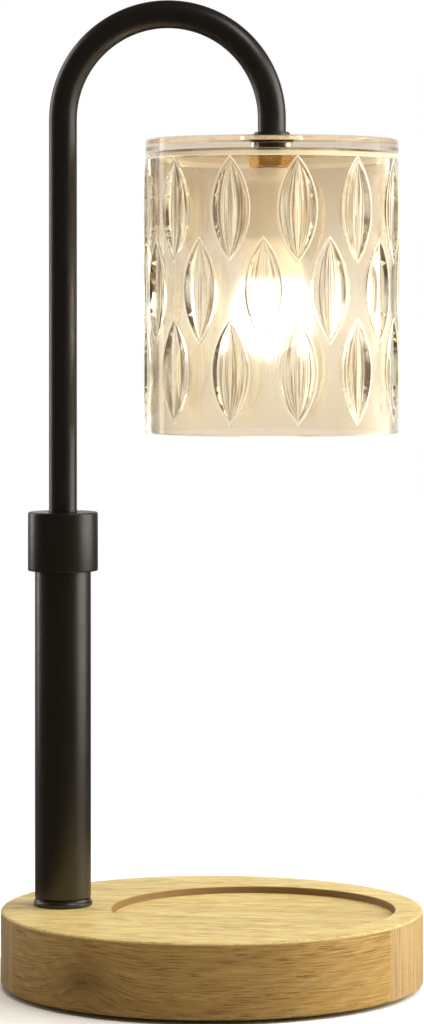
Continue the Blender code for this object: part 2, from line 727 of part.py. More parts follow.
def build_post(finishes):
    at_post = (POST_X, 0.0)
    stud_hole = STUD_RADIUS + SEAT_GAP
    spigot = POST_BORE - RUNNING_GAP
    flange_top = rounded(FOOT_FLANGE_RADIUS, FLANGE_TOP, FOOT_FLANGE_ROUND, 1, 1)
    turned("post_foot", [
        (stud_hole, FLANGE_BOTTOM), (FOOT_FLANGE_RADIUS, FLANGE_BOTTOM), *flange_top,
        (spigot, FLANGE_TOP), (spigot, FOOT_TOP), (stud_hole, FOOT_TOP),
    ], finishes["black"], at_post, MEDIUM_STEPS)

    turned("post_tube", [
        (POST_BORE, POST_BOTTOM), (POST_RADIUS, POST_BOTTOM),
        (POST_RADIUS, POST_TOP), (POST_BORE, POST_TOP),
    ], finishes["black"], at_post, MEDIUM_STEPS)

    turned("hollow_stud", [
        (STUD_BORE, STUD_BOTTOM), (STUD_RADIUS, STUD_BOTTOM),
        (STUD_RADIUS, STUD_TOP), (STUD_BORE, STUD_TOP),
    ], finishes["steel"], at_post, SMALL_STEPS)

    turned("stud_washer", [
        (stud_hole, WASHER_BOTTOM), (STUD_WASHER_RADIUS, WASHER_BOTTOM),
        (STUD_WASHER_RADIUS, WASHER_TOP), (stud_hole, WASHER_TOP),
    ], finishes["steel"], at_post, MEDIUM_STEPS)

    build_nut("stud_nut", STUD_NUT_FLATS, NUT_BOTTOM, NUT_TOP, stud_hole, finishes["steel"], at_post)


def build_nut(name, across_flats, bottom, top, bore, finish, centre, parent=None):
    nut = finish_object(
        name, prism_shape(hexagon(across_flats), bottom, top), finish, (*centre, 0.0), parent)
    hole = prism_shape(circle(bore, SMALL_STEPS), bottom - CUT_OVERRUN, top + CUT_OVERRUN)
    cut(nut, cutter(name + "_bore_cut", hole, (*centre, 0.0), parent))
    return nut


# Twist lock

def build_twist_lock(finishes, collet_pivot, collar_pivot):
    at_post = (POST_X, 0.0)
    spigot = POST_BORE - RUNNING_GAP
    bore = ARM_RADIUS + SEAT_GAP
    turned("threaded_neck", [
        (bore, NECK_BOTTOM), (spigot, NECK_BOTTOM), (spigot, SHOULDER_BOTTOM),
        (POST_RADIUS, SHOULDER_BOTTOM), (POST_RADIUS, SHOULDER_TOP),
        (NECK_NOSE_RADIUS, SHOULDER_TOP), (NECK_NOSE_RADIUS, NOSE_TOP),
        (NECK_CONE_RADIUS, NOSE_TOP), (bore, SHOULDER_TOP),
    ], finishes["steel"], at_post, MEDIUM_STEPS)

    grip = ARM_RADIUS + RUNNING_GAP
    tip = grip + COLLET_TIP_WALL
    wide = NECK_CONE_RADIUS - SEAT_GAP
    slope = (NECK_CONE_RADIUS - bore) / NECK_NOSE_HEIGHT
    tip_z = NOSE_TOP - (wide - tip) / slope
    rim_z = NOSE_TOP + COLLET_RIM_HEIGHT
    top_z = rim_z + COLLET_LEAD
    collet = turned("collet", [
        (grip, tip_z), (tip, tip_z), (wide, NOSE_TOP), (wide, rim_z),
        (wide - COLLET_LEAD, top_z), (grip, top_z),
    ], finishes["nylon"], at_post, SMALL_STEPS, collet_pivot)
    slit = prism_shape(box_outline(NECK_CONE_RADIUS * 2, COLLET_SLIT_WIDTH),
                       tip_z - CUT_OVERRUN, tip_z + COLLET_SLIT_DEPTH)
    slit.transform(Matrix.Translation((NECK_CONE_RADIUS + COLLET_SLIT_WIDTH, 0, 0)))
    turns = [Matrix.Rotation(math.tau * i / COLLET_SLITS, 4, "Z") for i in range(COLLET_SLITS)]
    cut(collet, cutter("collet_slit_cut", copies(slit, turns), (*at_post, 0.0), collet_pivot))

    skirt = POST_RADIUS + SEAT_GAP
    thread = NECK_NOSE_RADIUS + SEAT_GAP
    seat = wide + SEAT_GAP
    step_z = rim_z + SEAT_GAP
    cone_top = step_z + seat - bore
    turned("locking_collar", [
        (skirt, COLLAR_BOTTOM),
        *rounded(COLLAR_RADIUS, COLLAR_BOTTOM, COLLAR_ROUND, 1, -1)[::-1],
        *rounded(COLLAR_RADIUS, COLLAR_TOP, COLLAR_ROUND, 1, 1),
        (bore, COLLAR_TOP), (bore, cone_top), (seat, step_z), (thread, step_z),
        (thread, SHOULDER_TOP + SEAT_GAP), (skirt, SHOULDER_TOP + SEAT_GAP),
    ], finishes["black"], at_post, COLLAR_STEPS, collar_pivot)


# Swan neck

def arm_path(top_of_leg, end):
    """The tube's centre line: up the leg, over the arch and down to the shade."""
    path = [Vector((POST_X, 0.0, top_of_leg))]
    centre = Vector((POST_X + ARCH_RADIUS, 0.0, ARCH_Z))
    for i in range(ARCH_STEPS + 1):
        angle = math.pi * (1 - i / ARCH_STEPS)
        path.append(centre + ARCH_RADIUS * Vector((math.cos(angle), 0.0, math.sin(angle))))
    path.append(Vector((SHADE_X, 0.0, end)))
    return path


def build_arm(finishes, slider_pivot, arm_pivot):
    origin = Vector((POST_X, 0.0, 0.0))
    tube = tube_shape(arm_path(ARM_BOTTOM, ARM_END), ARM_RADIUS, ARM_BORE, ARM_SIDES)
    tube.transform(Matrix.Translation(-origin))
    finish_object("arm_tube", tube, finishes["black"], origin, arm_pivot)

    lead = tube_shape(
        arm_path(ARM_BOTTOM + SEAT_GAP, HOLDER_CAVITY_TOP + SEAT_GAP), LEAD_RADIUS, None, LEAD_SIDES)
    lead.transform(Matrix.Translation(-origin))
    finish_object("arm_lead", lead, finishes["lead"], origin, arm_pivot)

    grip = ARM_RADIUS + RUNNING_GAP
    outer = POST_BORE - RUNNING_GAP
    turned("guide_bush", [
        (grip, GUIDE_BOTTOM), (outer, GUIDE_BOTTOM), (outer, GUIDE_TOP), (grip, GUIDE_TOP),
    ], finishes["nylon"], (POST_X, 0.0), MEDIUM_STEPS, slider_pivot)

    clip = prism_shape(open_ring(grip, CLIP_RADIUS, CLIP_MOUTH, SMALL_STEPS), 0.0, CLIP_THICKNESS)
    heights = (GUIDE_BOTTOM - SEAT_GAP - CLIP_THICKNESS, GUIDE_TOP + SEAT_GAP)
    places = [Matrix.Translation((0, 0, height)) for height in heights]
    repeated("guide_clip", clip, places, finishes["steel"], (POST_X, 0.0), arm_pivot)


# Shade

def olive_side(steps):
    """One side of an olive cut's outline, from its lower tip to its upper one, about its centre."""
    radius = (CUT_HALF_LENGTH ** 2 + CUT_HALF_WIDTH ** 2) / (2 * CUT_HALF_WIDTH)
    reach = math.asin(CUT_HALF_LENGTH / radius)
    points = []
    for i in range(steps + 1):
        angle = reach * (2 * i / steps - 1)
        points.append((CUT_HALF_WIDTH - radius + radius * math.cos(angle), radius * math.sin(angle)))
    points[0] = (0.0, -CUT_HALF_LENGTH)
    points[-1] = (0.0, CUT_HALF_LENGTH)
    return points


def cut_depth(ring, along_share):
    """How far a leaf lies below the wall, on one of its rings and at a share of its half length.

    It is deepest just inside its outline and rises to a crest along its middle.
    """
    outline, deepest = CUT_RING_SHARES[:2]
    if ring == outline:
        return 0.0
    fall = CUT_CREST_SHARE + (1 - CUT_CREST_SHARE) * (ring / deepest) ** 2
    return CUT_DEPTH * fall * (1 - along_share ** 2)


def cut_wall_half_sector():
    """Half of one repeat of the cut pattern, flat: points with their depth, and triangles.

    It runs from the centre of a middle-row cut to the centre of the cuts above and below it.
    """
    width = CUT_SECTOR
    low = SHADE_BOTTOM + SHADE_FOOT_ROUND
    high = SHADE_TOP - SHADE_TOP_ROUND
    top_row = SHADE_TOP - CUT_TOP_ROW_DROP
    points, depths, edges = [], [], []

    def chain(run, run_depths):
        first = len(points)
        points.extend(run)
        depths.extend(run_depths)
        edges.extend((first + i, first + i + 1) for i in range(len(run) - 1))

    side = olive_side(CUT_ARC_STEPS)
    for row, across in ((0, width), (1, 0.0), (2, width)):
        centre = top_row - row * CUT_ROW_PITCH
        turn = -1 if across else 1
        for share in CUT_RING_SHARES:
            run = side if share else side[::2]
            chain(
                [(across + turn * share * u, centre + v) for u, v in run],
                [cut_depth(share, v / CUT_HALF_LENGTH) for u, v in run])
    border = [(0.0, low), (width / 2, low), (width, low), (width, high), (width / 2, high), (0.0, high)]
    chain(border + border[:1], [0.0] * (len(border) + 1))

    flat = [Vector(point) for point in points]
    placed, _, faces, sources, _, _ = delaunay_2d_cdt(flat, edges, [], 0, 1e-7)
    return [(v.x, v.y, depths[source[0]]) for v, source in zip(placed, sources)], faces


def shade_shape():
    """The glass: the cut wall, repeated all round, and the turned rest of it, in one closed surface."""
    bm = bmesh.new()
    pattern, faces = cut_wall_half_sector()
    for sector in range(CUTS_ROUND):
        for mirrored in (1, -1):
            ring = []
            for along, height, depth in pattern:
                angle = mirrored * along / SHADE_RADIUS + math.tau * sector / CUTS_ROUND
                radius = SHADE_RADIUS - depth
                ring.append(bm.verts.new((radius * math.cos(angle), radius * math.sin(angle), height)))
            for face in faces:
                bm.faces.new([ring[i] for i in face])

    bore = SHADE_RADIUS - SHADE_WALL
    low = SHADE_BOTTOM + SHADE_FOOT_ROUND
    high = SHADE_TOP - SHADE_TOP_ROUND
    rim = SHADE_RADIUS - SHADE_RIM_WIDTH
    profile = [
        (SHADE_RADIUS, high),
        *rounded(SHADE_RADIUS, SHADE_TOP, SHADE_TOP_ROUND, 1, 1)[1:],
        (rim, SHADE_TOP), (rim - SHADE_RECESS_SLOPE, SHADE_SEAT),
        (SHADE_HOLE, SHADE_SEAT), (SHADE_HOLE, SHADE_UNDER),
        (bore - SHADE_PLATE_FILLET, SHADE_UNDER), (bore, SHADE_UNDER - SHADE_PLATE_FILLET),
        (bore, low),
        (bore + SHADE_FOOT_ROUND, SHADE_BOTTOM), (SHADE_RADIUS - SHADE_FOOT_ROUND, SHADE_BOTTOM),
        (SHADE_RADIUS, low),
    ]
    points = [bm.verts.new((radius, 0.0, height)) for radius, height in profile]
    lines = [bm.edges.new(pair) for pair in zip(points, points[1:])]
    bmesh.ops.spin(
        bm, geom=points + lines, cent=(0, 0, 0), axis=(0, 0, 1), angle=math.tau,
        steps=4 * CUTS_ROUND, use_merge=True)
    bmesh.ops.remove_doubles(bm, verts=bm.verts, dist=1e-6)
    bmesh.ops.rotate(bm, verts=bm.verts, cent=(0, 0, 0), matrix=Matrix.Rotation(CUT_TURN, 3, "Z"))
    return bm


def build_shade(finishes, arm_pivot):
    at_shade = (SHADE_X, 0.0)
    finish_object("shade", shade_shape(), finishes["glass"], (*at_shade, 0.0), arm_pivot)

    def ring(name, radius, bottom, height, finish, steps=MEDIUM_STEPS):
        turned(name, [
            (SHADE_HOLE, bottom), (radius, bottom), (radius, bottom + height),
            (SHADE_HOLE, bottom + height),
        ], finish, at_shade, steps, arm_pivot)

    ring("upper_gasket", GASKET_RADIUS, UPPER_GASKET_BOTTOM, UPPER_GASKET_HEIGHT, finishes["silicone"])
    ring("top_washer", TOP_WASHER_RADIUS, TOP_WASHER_BOTTOM, TOP_WASHER_HEIGHT, finishes["black"])
    ring("lower_gasket", GASKET_RADIUS, LOWER_GASKET_BOTTOM, LOWER_GASKET_HEIGHT, finishes["silicone"])
    turned("top_ferrule", [
        (SHADE_HOLE, FERRULE_BOTTOM), (FERRULE_RADIUS, FERRULE_BOTTOM),
        *rounded(FERRULE_RADIUS, FERRULE_BOTTOM + FERRULE_HEIGHT, FERRULE_ROUND, 1, 1),
        (SHADE_HOLE, FERRULE_BOTTOM + FERRULE_HEIGHT),
    ], finishes["black"], at_shade, MEDIUM_STEPS, arm_pivot)
    build_nut(
        "shade_nut", SHADE_NUT_FLATS, SHADE_NUT_BOTTOM, SHADE_NUT_BOTTOM + SHADE_NUT_HEIGHT,
        SHADE_HOLE, finishes["brass"], at_shade, arm_pivot)


# Lampholder

def threaded_sleeve(mean, bottom, top, plain_radius, outside):
    """A sleeve with a round thread on one face and a plain face on the other.

    outside is True for a male thread, whose ends fade to its root, and False for a female one.
    """
    bm = bmesh.new()
    rows = round((top - bottom) / CAP_PITCH * THREAD_ROWS_PER_PITCH)
    end_radius = mean - CAP_THREAD_AMPLITUDE if outside else mean + CAP_THREAD_AMPLITUDE
    wave = []
    for row in range(rows + 1):
        height = bottom + (top - bottom) * row / rows
        ring = []
        for k in range(THREAD_STEPS):
            angle = math.tau * k / THREAD_STEPS
            turn = math.tau * (height - HOLDER_BOTTOM) / CAP_PITCH - angle
            radius = mean + CAP_THREAD_AMPLITUDE * math.cos(turn)
            if row in (0, rows):
                radius = end_radius
            ring.append(bm.verts.new((radius * math.cos(angle), radius * math.sin(angle), height)))
        wave.append(ring)
    plain = [
        [bm.verts.new((x, y, height)) for x, y in circle(plain_radius, THREAD_STEPS)]
        for height in (bottom, top)
    ]
    bands = list(zip(wave, wave[1:])) + [(plain[0], plain[1]), (wave[0], plain[0]), (wave[-1], plain[1])]
    for before, after in bands:
        for k in range(THREAD_STEPS):
            n = (k + 1) % THREAD_STEPS
            bm.faces.new((before[k], before[n], after[n], after[k]))
    bmesh.ops.triangulate(bm, faces=bm.faces)
    return bm


def build_lampholder(finishes, arm_pivot):
    at_shade = (SHADE_X, 0.0)
    thread = ARM_RADIUS + SEAT_GAP
    shoulder = HOLDER_TOP - HOLDER_BOSS_HEIGHT
    body = turned("lampholder", [
        (HOLDER_CAVITY_RADIUS, HOLDER_BOTTOM),
        *rounded(HOLDER_RADIUS, HOLDER_BOTTOM, HOLDER_EDGE_ROUND, 1, -1)[::-1],
        *rounded(HOLDER_RADIUS, shoulder - HOLDER_SHOULDER_DROP, HOLDER_EDGE_ROUND, 1, 1),
        (HOLDER_BOSS_RADIUS, shoulder), (HOLDER_BOSS_RADIUS, HOLDER_TOP), (thread, HOLDER_TOP),
        (thread, HOLDER_THREAD_END), (HOLDER_WIRE_HOLE, HOLDER_THREAD_END),
        (HOLDER_WIRE_HOLE, HOLDER_CAVITY_TOP), (HOLDER_CAVITY_RADIUS, HOLDER_CAVITY_TOP),
    ], finishes["porcelain"], at_shade, MEDIUM_STEPS, arm_pivot)
    terminal_low = shoulder - HOLDER_SHOULDER_DROP - TERMINAL_LENGTH
    hole = prism_shape(
        circle(TERMINAL_RADIUS + SEAT_GAP, TINY_STEPS), terminal_low - SEAT_GAP,
        HOLDER_TOP + CUT_OVERRUN)
    places = spots(TERMINAL_CIRCLE, 2, math.pi / 2)
    cut(body, cutter("terminal_hole_cut", copies(hole, places), (*at_shade, 0.0), arm_pivot))

    screw = turned_shape([
        (0.0, terminal_low), (TERMINAL_RADIUS / 2, terminal_low),
        (TERMINAL_RADIUS / 2, terminal_low + TERMINAL_LENGTH - TERMINAL_HEAD_HEIGHT),
        (TERMINAL_RADIUS, terminal_low + TERMINAL_LENGTH - TERMINAL_HEAD_HEIGHT),
        (TERMINAL_RADIUS, terminal_low + TERMINAL_LENGTH), (0.0, terminal_low + TERMINAL_LENGTH),
    ], TINY_STEPS)
    repeated("terminal_screw", screw, places, finishes["brass"], at_shade, arm_pivot)

    shell = threaded_sleeve(
        CAP_MEAN_RADIUS + THREAD_GAP, SHELL_BOTTOM, SHELL_BOTTOM + SHELL_HEIGHT, SHELL_RADIUS, False)
    finish_object("screw_shell", shell, finishes["brass"], (*at_shade, 0.0), arm_pivot)

    low = CONTACT_LOW
    roof = HOLDER_CAVITY_TOP - SEAT_GAP
    strip = [
        (-TIP_RADIUS, low), (TIP_RADIUS, low), (TIP_RADIUS + CONTACT_BEND_DROP, roof - CONTACT_THICKNESS),
        (CONTACT_REACH, roof - CONTACT_THICKNESS), (CONTACT_REACH, roof),
        (TIP_RADIUS, roof), (TIP_RADIUS - CONTACT_THICKNESS, low + CONTACT_THICKNESS),
        (-TIP_RADIUS, low + CONTACT_THICKNESS),
    ]
    tongue = prism_shape(strip, -CONTACT_WIDTH / 2, CONTACT_WIDTH / 2)
    tongue.transform(Matrix.Rotation(math.pi / 2, 4, "X"))
    finish_object("centre_contact", tongue, finishes["brass"], (*at_shade, 0.0), arm_pivot)


# Bulb

def build_bulb(finishes, drop_pivot, bulb_pivot):
    at_shade = (SHADE_X, 0.0)
    cap = threaded_sleeve(CAP_MEAN_RADIUS, CAP_BOTTOM, CAP_TOP, CAP_BORE, True)
    finish_object("bulb_cap", cap, finishes["nickel"], (*at_shade, 0.0), bulb_pivot)

    turned("bulb_insulator", [
        (0.0, INSULATOR_BOTTOM), (CAP_BORE, INSULATOR_BOTTOM),
        (INSULATOR_TIP_RADIUS, INSULATOR_TOP), (0.0, INSULATOR_TOP),
    ], finishes["black_glass"], at_shade, SMALL_STEPS, bulb_pivot)

    turned("bulb_tip", [
        (0.0, TIP_BOTTOM), (TIP_RADIUS, TIP_BOTTOM), (TIP_RADIUS / 2, TIP_TOP), (0.0, TIP_TOP),
    ], finishes["nickel"], at_shade, TINY_STEPS, drop_pivot)

    outer = bulb_profile(0.0)
    inner = bulb_profile(BULB_GLASS_WALL)
    turned("bulb_glass", outer + inner[::-1], finishes["frosted"], at_shade, SMALL_STEPS, bulb_pivot)

    flare = BULB_STEM_RADIUS - BULB_GLASS_WALL - RUNNING_GAP
    top = GLASS_TOP
    turned("filament_mount", [
        (0.0, top - MOUNT_LENGTH), (MOUNT_TIP_RADIUS, top - MOUNT_LENGTH),
        (MOUNT_TIP_RADIUS, top - 3 * MOUNT_FLARE_HEIGHT), (flare, top - MOUNT_FLARE_HEIGHT),
        (flare, top), (0.0, top),
    ], finishes["frosted"], at_shade, TINY_STEPS, bulb_pivot)

    start = top - MOUNT_LENGTH - SEAT_GAP
    foot = MOUNT_TIP_RADIUS - FILAMENT_RADIUS
    arc = [
        Vector((FILAMENT_SPREAD * math.cos(math.pi * i / 8), 0.0,
                start - FILAMENT_DROP - FILAMENT_RADIUS * 6 * math.sin(math.pi * i / 8)))
        for i in range(9)
    ]
    route = [Vector((foot, 0, start)), *arc, Vector((-foot, 0, start))]
    finish_object(
        "filament", tube_shape(route, FILAMENT_RADIUS, None, 6), finishes["tungsten"],
        (*at_shade, 0.0), bulb_pivot)


def bulb_profile(inset):
    """The glass from the middle of its foot up to the end of its stem, drawn in by inset."""
    globe = GLOBE_RADIUS - inset
    join = math.asin(BULB_SHOULDER_RADIUS / GLOBE_RADIUS)
    steps = 7
    points = []
    for i in range(steps + 1):
        angle = (math.pi - join) * i / steps
        points.append((globe * math.sin(angle), GLOBE_CENTRE - globe * math.cos(angle)))
    points[0] = (0.0, GLOBE_CENTRE - globe)
    rise = HOLDER_BOTTOM - (GLOBE_CENTRE - GLOBE_RADIUS * math.cos(math.pi - join))
    shoulder_top = GLOBE_CENTRE - GLOBE_RADIUS * math.cos(math.pi - join)
    points += [
        (BULB_SHOULDER_RADIUS - inset, shoulder_top + rise * 0.40),
        (BULB_SHOULDER_RADIUS - inset - (BULB_SHOULDER_RADIUS - BULB_NECK_RADIUS) * 0.45,
         shoulder_top + rise * 0.78),
        (BULB_NECK_RADIUS - inset, HOLDER_BOTTOM),
        (BULB_STEM_RADIUS - inset, CAP_BOTTOM - SEAT_GAP),
        (BULB_STEM_RADIUS - inset, GLASS_TOP),
    ]
    return points


def clear_scene():
    for thing in list(bpy.data.objects):
        bpy.data.objects.remove(thing)


def main():
    clear_scene()
    finishes = make_materials()
    post_axis = (POST_X, 0.0, 0.0)
    shade_axis = (SHADE_X, 0.0, 0.0)
    collet_pivot = pivot("collet_slides_on", post_axis)
    collar_pivot = pivot("collar_turns_on", post_axis, collet_pivot)
    slider_pivot = pivot("slider_rises_on", post_axis)
    arm_pivot = pivot("arm_swivels_on", post_axis, slider_pivot)
    drop_pivot = pivot("bulb_drops_on", shade_axis, arm_pivot)
    bulb_pivot = pivot("bulb_turns_on", shade_axis, drop_pivot)

    build_wood_base(finishes["wood"])
    build_underside(finishes)
    build_cord_inlet(finishes)
    build_base_wiring(finishes["lead"])
    build_post(finishes)
    build_twist_lock(finishes, collet_pivot, collar_pivot)
    build_arm(finishes, slider_pivot, arm_pivot)
    build_shade(finishes, arm_pivot)
    build_lampholder(finishes, arm_pivot)
    build_bulb(finishes, drop_pivot, bulb_pivot)


main()
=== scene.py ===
"""Finished look of the candle warmer lamp: cut glass shade, black swan neck and post, wooden base.

Metres, in the row frame. Each finished piece stands for the CAD nodes that it covers.
"""

import math

import bmesh
import bpy
from mathutils import Matrix, Vector
from mathutils.geometry import delaunay_2d_cdt


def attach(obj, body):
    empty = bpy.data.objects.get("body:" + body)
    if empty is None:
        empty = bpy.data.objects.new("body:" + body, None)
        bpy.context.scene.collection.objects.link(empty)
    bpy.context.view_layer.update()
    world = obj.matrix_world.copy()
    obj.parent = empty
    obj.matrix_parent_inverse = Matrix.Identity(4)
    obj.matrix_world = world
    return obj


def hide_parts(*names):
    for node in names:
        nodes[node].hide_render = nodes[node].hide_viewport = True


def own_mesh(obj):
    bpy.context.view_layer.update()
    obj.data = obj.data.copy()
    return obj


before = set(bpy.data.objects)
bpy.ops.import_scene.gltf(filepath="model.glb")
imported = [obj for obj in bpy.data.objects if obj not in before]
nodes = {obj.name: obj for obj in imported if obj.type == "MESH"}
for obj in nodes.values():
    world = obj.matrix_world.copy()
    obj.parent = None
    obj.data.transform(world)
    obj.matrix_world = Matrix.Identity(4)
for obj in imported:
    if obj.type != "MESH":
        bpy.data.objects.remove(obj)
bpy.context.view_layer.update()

MM = 0.001
SHARP_ANGLE = math.radians(38)
MERGE = 0.002 * MM

# Places of the lamp's parts
POST_X = -53.6 * MM
SHADE_X = 21.4 * MM
DISH_X = 14.8 * MM
DISH_RADIUS = 50.2 * MM
BASE_RADIUS = 75.0 * MM
WOOD_TOP = 27.5 * MM
PAD_RING = 60.0 * MM
PLATE_SCREW_RING = 62.0 * MM
INLET_TURN = math.radians(120)
INLET_RING = 52.0 * MM
ARCH_RADIUS = 37.5 * MM
ARCH_Z = 308.0 * MM
AT_POST = (POST_X, 0.0)
AT_SHADE = (SHADE_X, 0.0)

# The photograph's viewpoint, and its framing in pixels
CAMERA_TURN = math.radians(6.4)
CAMERA_AWAY = 1.341
CAMERA_HEIGHT = 0.2444
FOCAL_PIXELS = 3769.0
PICTURE_HEIGHT = 1024.0
PICTURE_SHIFT = 214.0
SENSOR = 36.0

# The dim room in front of the lamp, as black and glass mirror it
ROOM = (1.0, 0.76, 0.55)
ROOM_GLINT = 0.11

# Olive cuts in the shade
SHADE_RADIUS = 45.0 * MM
SHADE_LOW = 196.7 * MM
SHADE_HIGH = 300.7 * MM
CUTS_ROUND = 12
CUT_TURN = math.radians(1.8)
CUT_HALF_WIDTH = 6.15 * MM
CUT_HALF_LENGTH = 17.0 * MM
CUT_DEPTH = 2.6 * MM
FLUTES = 3
FLUTE_DEPTH = 0.025 * MM
BEAD_WIDTH = 1.2 * MM
BEAD_HEIGHT = 0.40 * MM
SECTOR = SHADE_RADIUS * math.pi / CUTS_ROUND
CUT_ROWS = [(SECTOR, 275.0 * MM), (0.0, 247.0 * MM), (SECTOR, 219.0 * MM)]
CUT_ARC = (CUT_HALF_LENGTH ** 2 + CUT_HALF_WIDTH ** 2) / (2 * CUT_HALF_WIDTH)
CUT_ARC_SET = CUT_ARC - CUT_HALF_WIDTH


# Geometry Nodes trees

class Tree:
    """One Geometry Nodes tree whose sizes are named inputs."""

    def __init__(self, name, sizes):
        self.group = bpy.data.node_groups.new(name, "GeometryNodeTree")
        face = self.group.interface
        face.new_socket("Geometry", in_out="INPUT", socket_type="NodeSocketGeometry")
        self.identifiers = {
            label: face.new_socket(label, in_out="INPUT", socket_type="NodeSocket" + kind).identifier
            for label, kind in sizes.items()
        }
        face.new_socket("Geometry", in_out="OUTPUT", socket_type="NodeSocketGeometry")
        self.given = self.group.nodes.new("NodeGroupInput").outputs
        self.last = self.group.nodes.new("NodeGroupOutput").inputs

    def node(self, kind, values=None, **settings):
        made = self.group.nodes.new(kind)
        for key, value in settings.items():
            setattr(made, key, value)
        for key, value in (values or {}).items():
            self.fill(made.inputs[key], value)
        return made

    def fill(self, slot, value):
        if isinstance(value, bpy.types.NodeSocket):
            self.group.links.new(value, slot)
        else:
            slot.default_value = value

    def sums(self, operation, *values):
        made = self.node("ShaderNodeMath", operation=operation)
        for slot, value in zip(made.inputs, values):
            self.fill(slot, value)
        return made.outputs[0]

    def point(self, x=0.0, y=0.0, z=0.0):
        return self.node("ShaderNodeCombineXYZ", {"X": x, "Y": y, "Z": z}).outputs[0]

    def number(self, name):
        return self.node("GeometryNodeInputNamedAttribute", {"Name": name}).outputs["Attribute"]

    def finish(self, geometry):
        """Ends the tree: real geometry with the finish on it."""
        real = self.node("GeometryNodeRealizeInstances", {"Geometry": geometry}).outputs[0]
        painted = self.node(
            "GeometryNodeSetMaterial", {"Geometry": real, "Material": self.given["Finish"]})
        self.group.links.new(painted.outputs[0], self.last["Geometry"])
        return self


def round_an_axis(t, shape, count, first_angle):
    """Real copies of a shape at even turns about the tree's upright axis, with touching edges merged."""
    spots = t.node("GeometryNodeMeshLine", {
        "Count": count, "Start Location": t.point(t.given["Axis X"]), "Offset": (0, 0, 0)})
    step = t.sums("DIVIDE", math.tau, count)
    angle = t.sums("MULTIPLY_ADD", t.node("GeometryNodeInputIndex").outputs[0], step, first_angle)
    turn = t.node("FunctionNodeEulerToRotation", {"Euler": t.point(z=angle)}).outputs[0]
    placed = t.node("GeometryNodeInstanceOnPoints", {
        "Points": spots.outputs[0], "Instance": shape, "Rotation": turn}).outputs[0]
    real = t.node("GeometryNodeRealizeInstances", {"Geometry": placed}).outputs[0]
    return t.node("GeometryNodeMergeByDistance", {
        "Geometry": real, "Distance": t.given["Merge"]}).outputs[0]


def round_bar(t, path, capped):
    """A round bar along a path, from the tree's radius and sides."""
    ring = t.node("GeometryNodeCurvePrimitiveCircle", {
        "Resolution": t.given["Sides"], "Radius": t.given["Radius"]}).outputs[0]
    return t.node("GeometryNodeCurveToMesh", {
        "Curve": path, "Profile Curve": ring, "Fill Caps": capped}).outputs[0]


def copies_tree():
    """Copies of the given shape, turned about an upright axis."""
    t = Tree("copies_round_an_axis", {
        "Copies": "Int", "First Angle": "Float", "Axis X": "Float", "Merge": "Float",
        "Finish": "Material"})
    return t.finish(round_an_axis(
        t, t.given["Geometry"], t.given["Copies"], t.given["First Angle"]))


def tube_tree():
    """A round bar along the given path, open at its ends."""
    t = Tree("tube_along_path", {"Radius": "Float", "Sides": "Int", "Finish": "Material"})
    path = t.node("GeometryNodeMeshToCurve", {"Mesh": t.given["Geometry"]}).outputs[0]
    return t.finish(round_bar(t, path, False))


def slack_tree():
    """A lead that hangs in a loose spiral between two heights, straight at both ends."""
    t = Tree("slack_spiral", {
        "Low": "Float", "High": "Float", "Swing": "Float", "Turns": "Float", "Ramps": "Float",
        "Radius": "Float", "Points": "Int", "Sides": "Int", "Axis X": "Float", "Finish": "Material"})
    line = t.node("GeometryNodeCurvePrimitiveLine", {
        "Start": t.point(t.given["Axis X"], z=t.given["Low"]),
        "End": t.point(t.given["Axis X"], z=t.given["High"])}).outputs[0]
    path = t.node("GeometryNodeResampleCurve", {"Curve": line, "Count": t.given["Points"]}).outputs[0]
    share = t.node("GeometryNodeSplineParameter").outputs["Factor"]
    rise = t.sums("MULTIPLY", share, t.given["Ramps"])
    fall = t.sums("MULTIPLY", t.sums("SUBTRACT", 1.0, share), t.given["Ramps"])
    ramp = t.sums("MINIMUM", t.sums("MINIMUM", rise, fall), 1.0)
    ease = t.sums("SUBTRACT", 1.0, t.sums("COSINE", t.sums("MULTIPLY", ramp, math.pi)))
    swing = t.sums("MULTIPLY", t.sums("MULTIPLY", ease, 0.5), t.given["Swing"])
    angle = t.sums("MULTIPLY", share, t.sums("MULTIPLY", t.given["Turns"], math.tau))
    away = t.point(
        t.sums("MULTIPLY", swing, t.sums("COSINE", angle)),
        t.sums("MULTIPLY", swing, t.sums("SINE", angle)))
    path = t.node("GeometryNodeSetPosition", {"Geometry": path, "Offset": away}).outputs[0]
    return t.finish(round_bar(t, path, True))


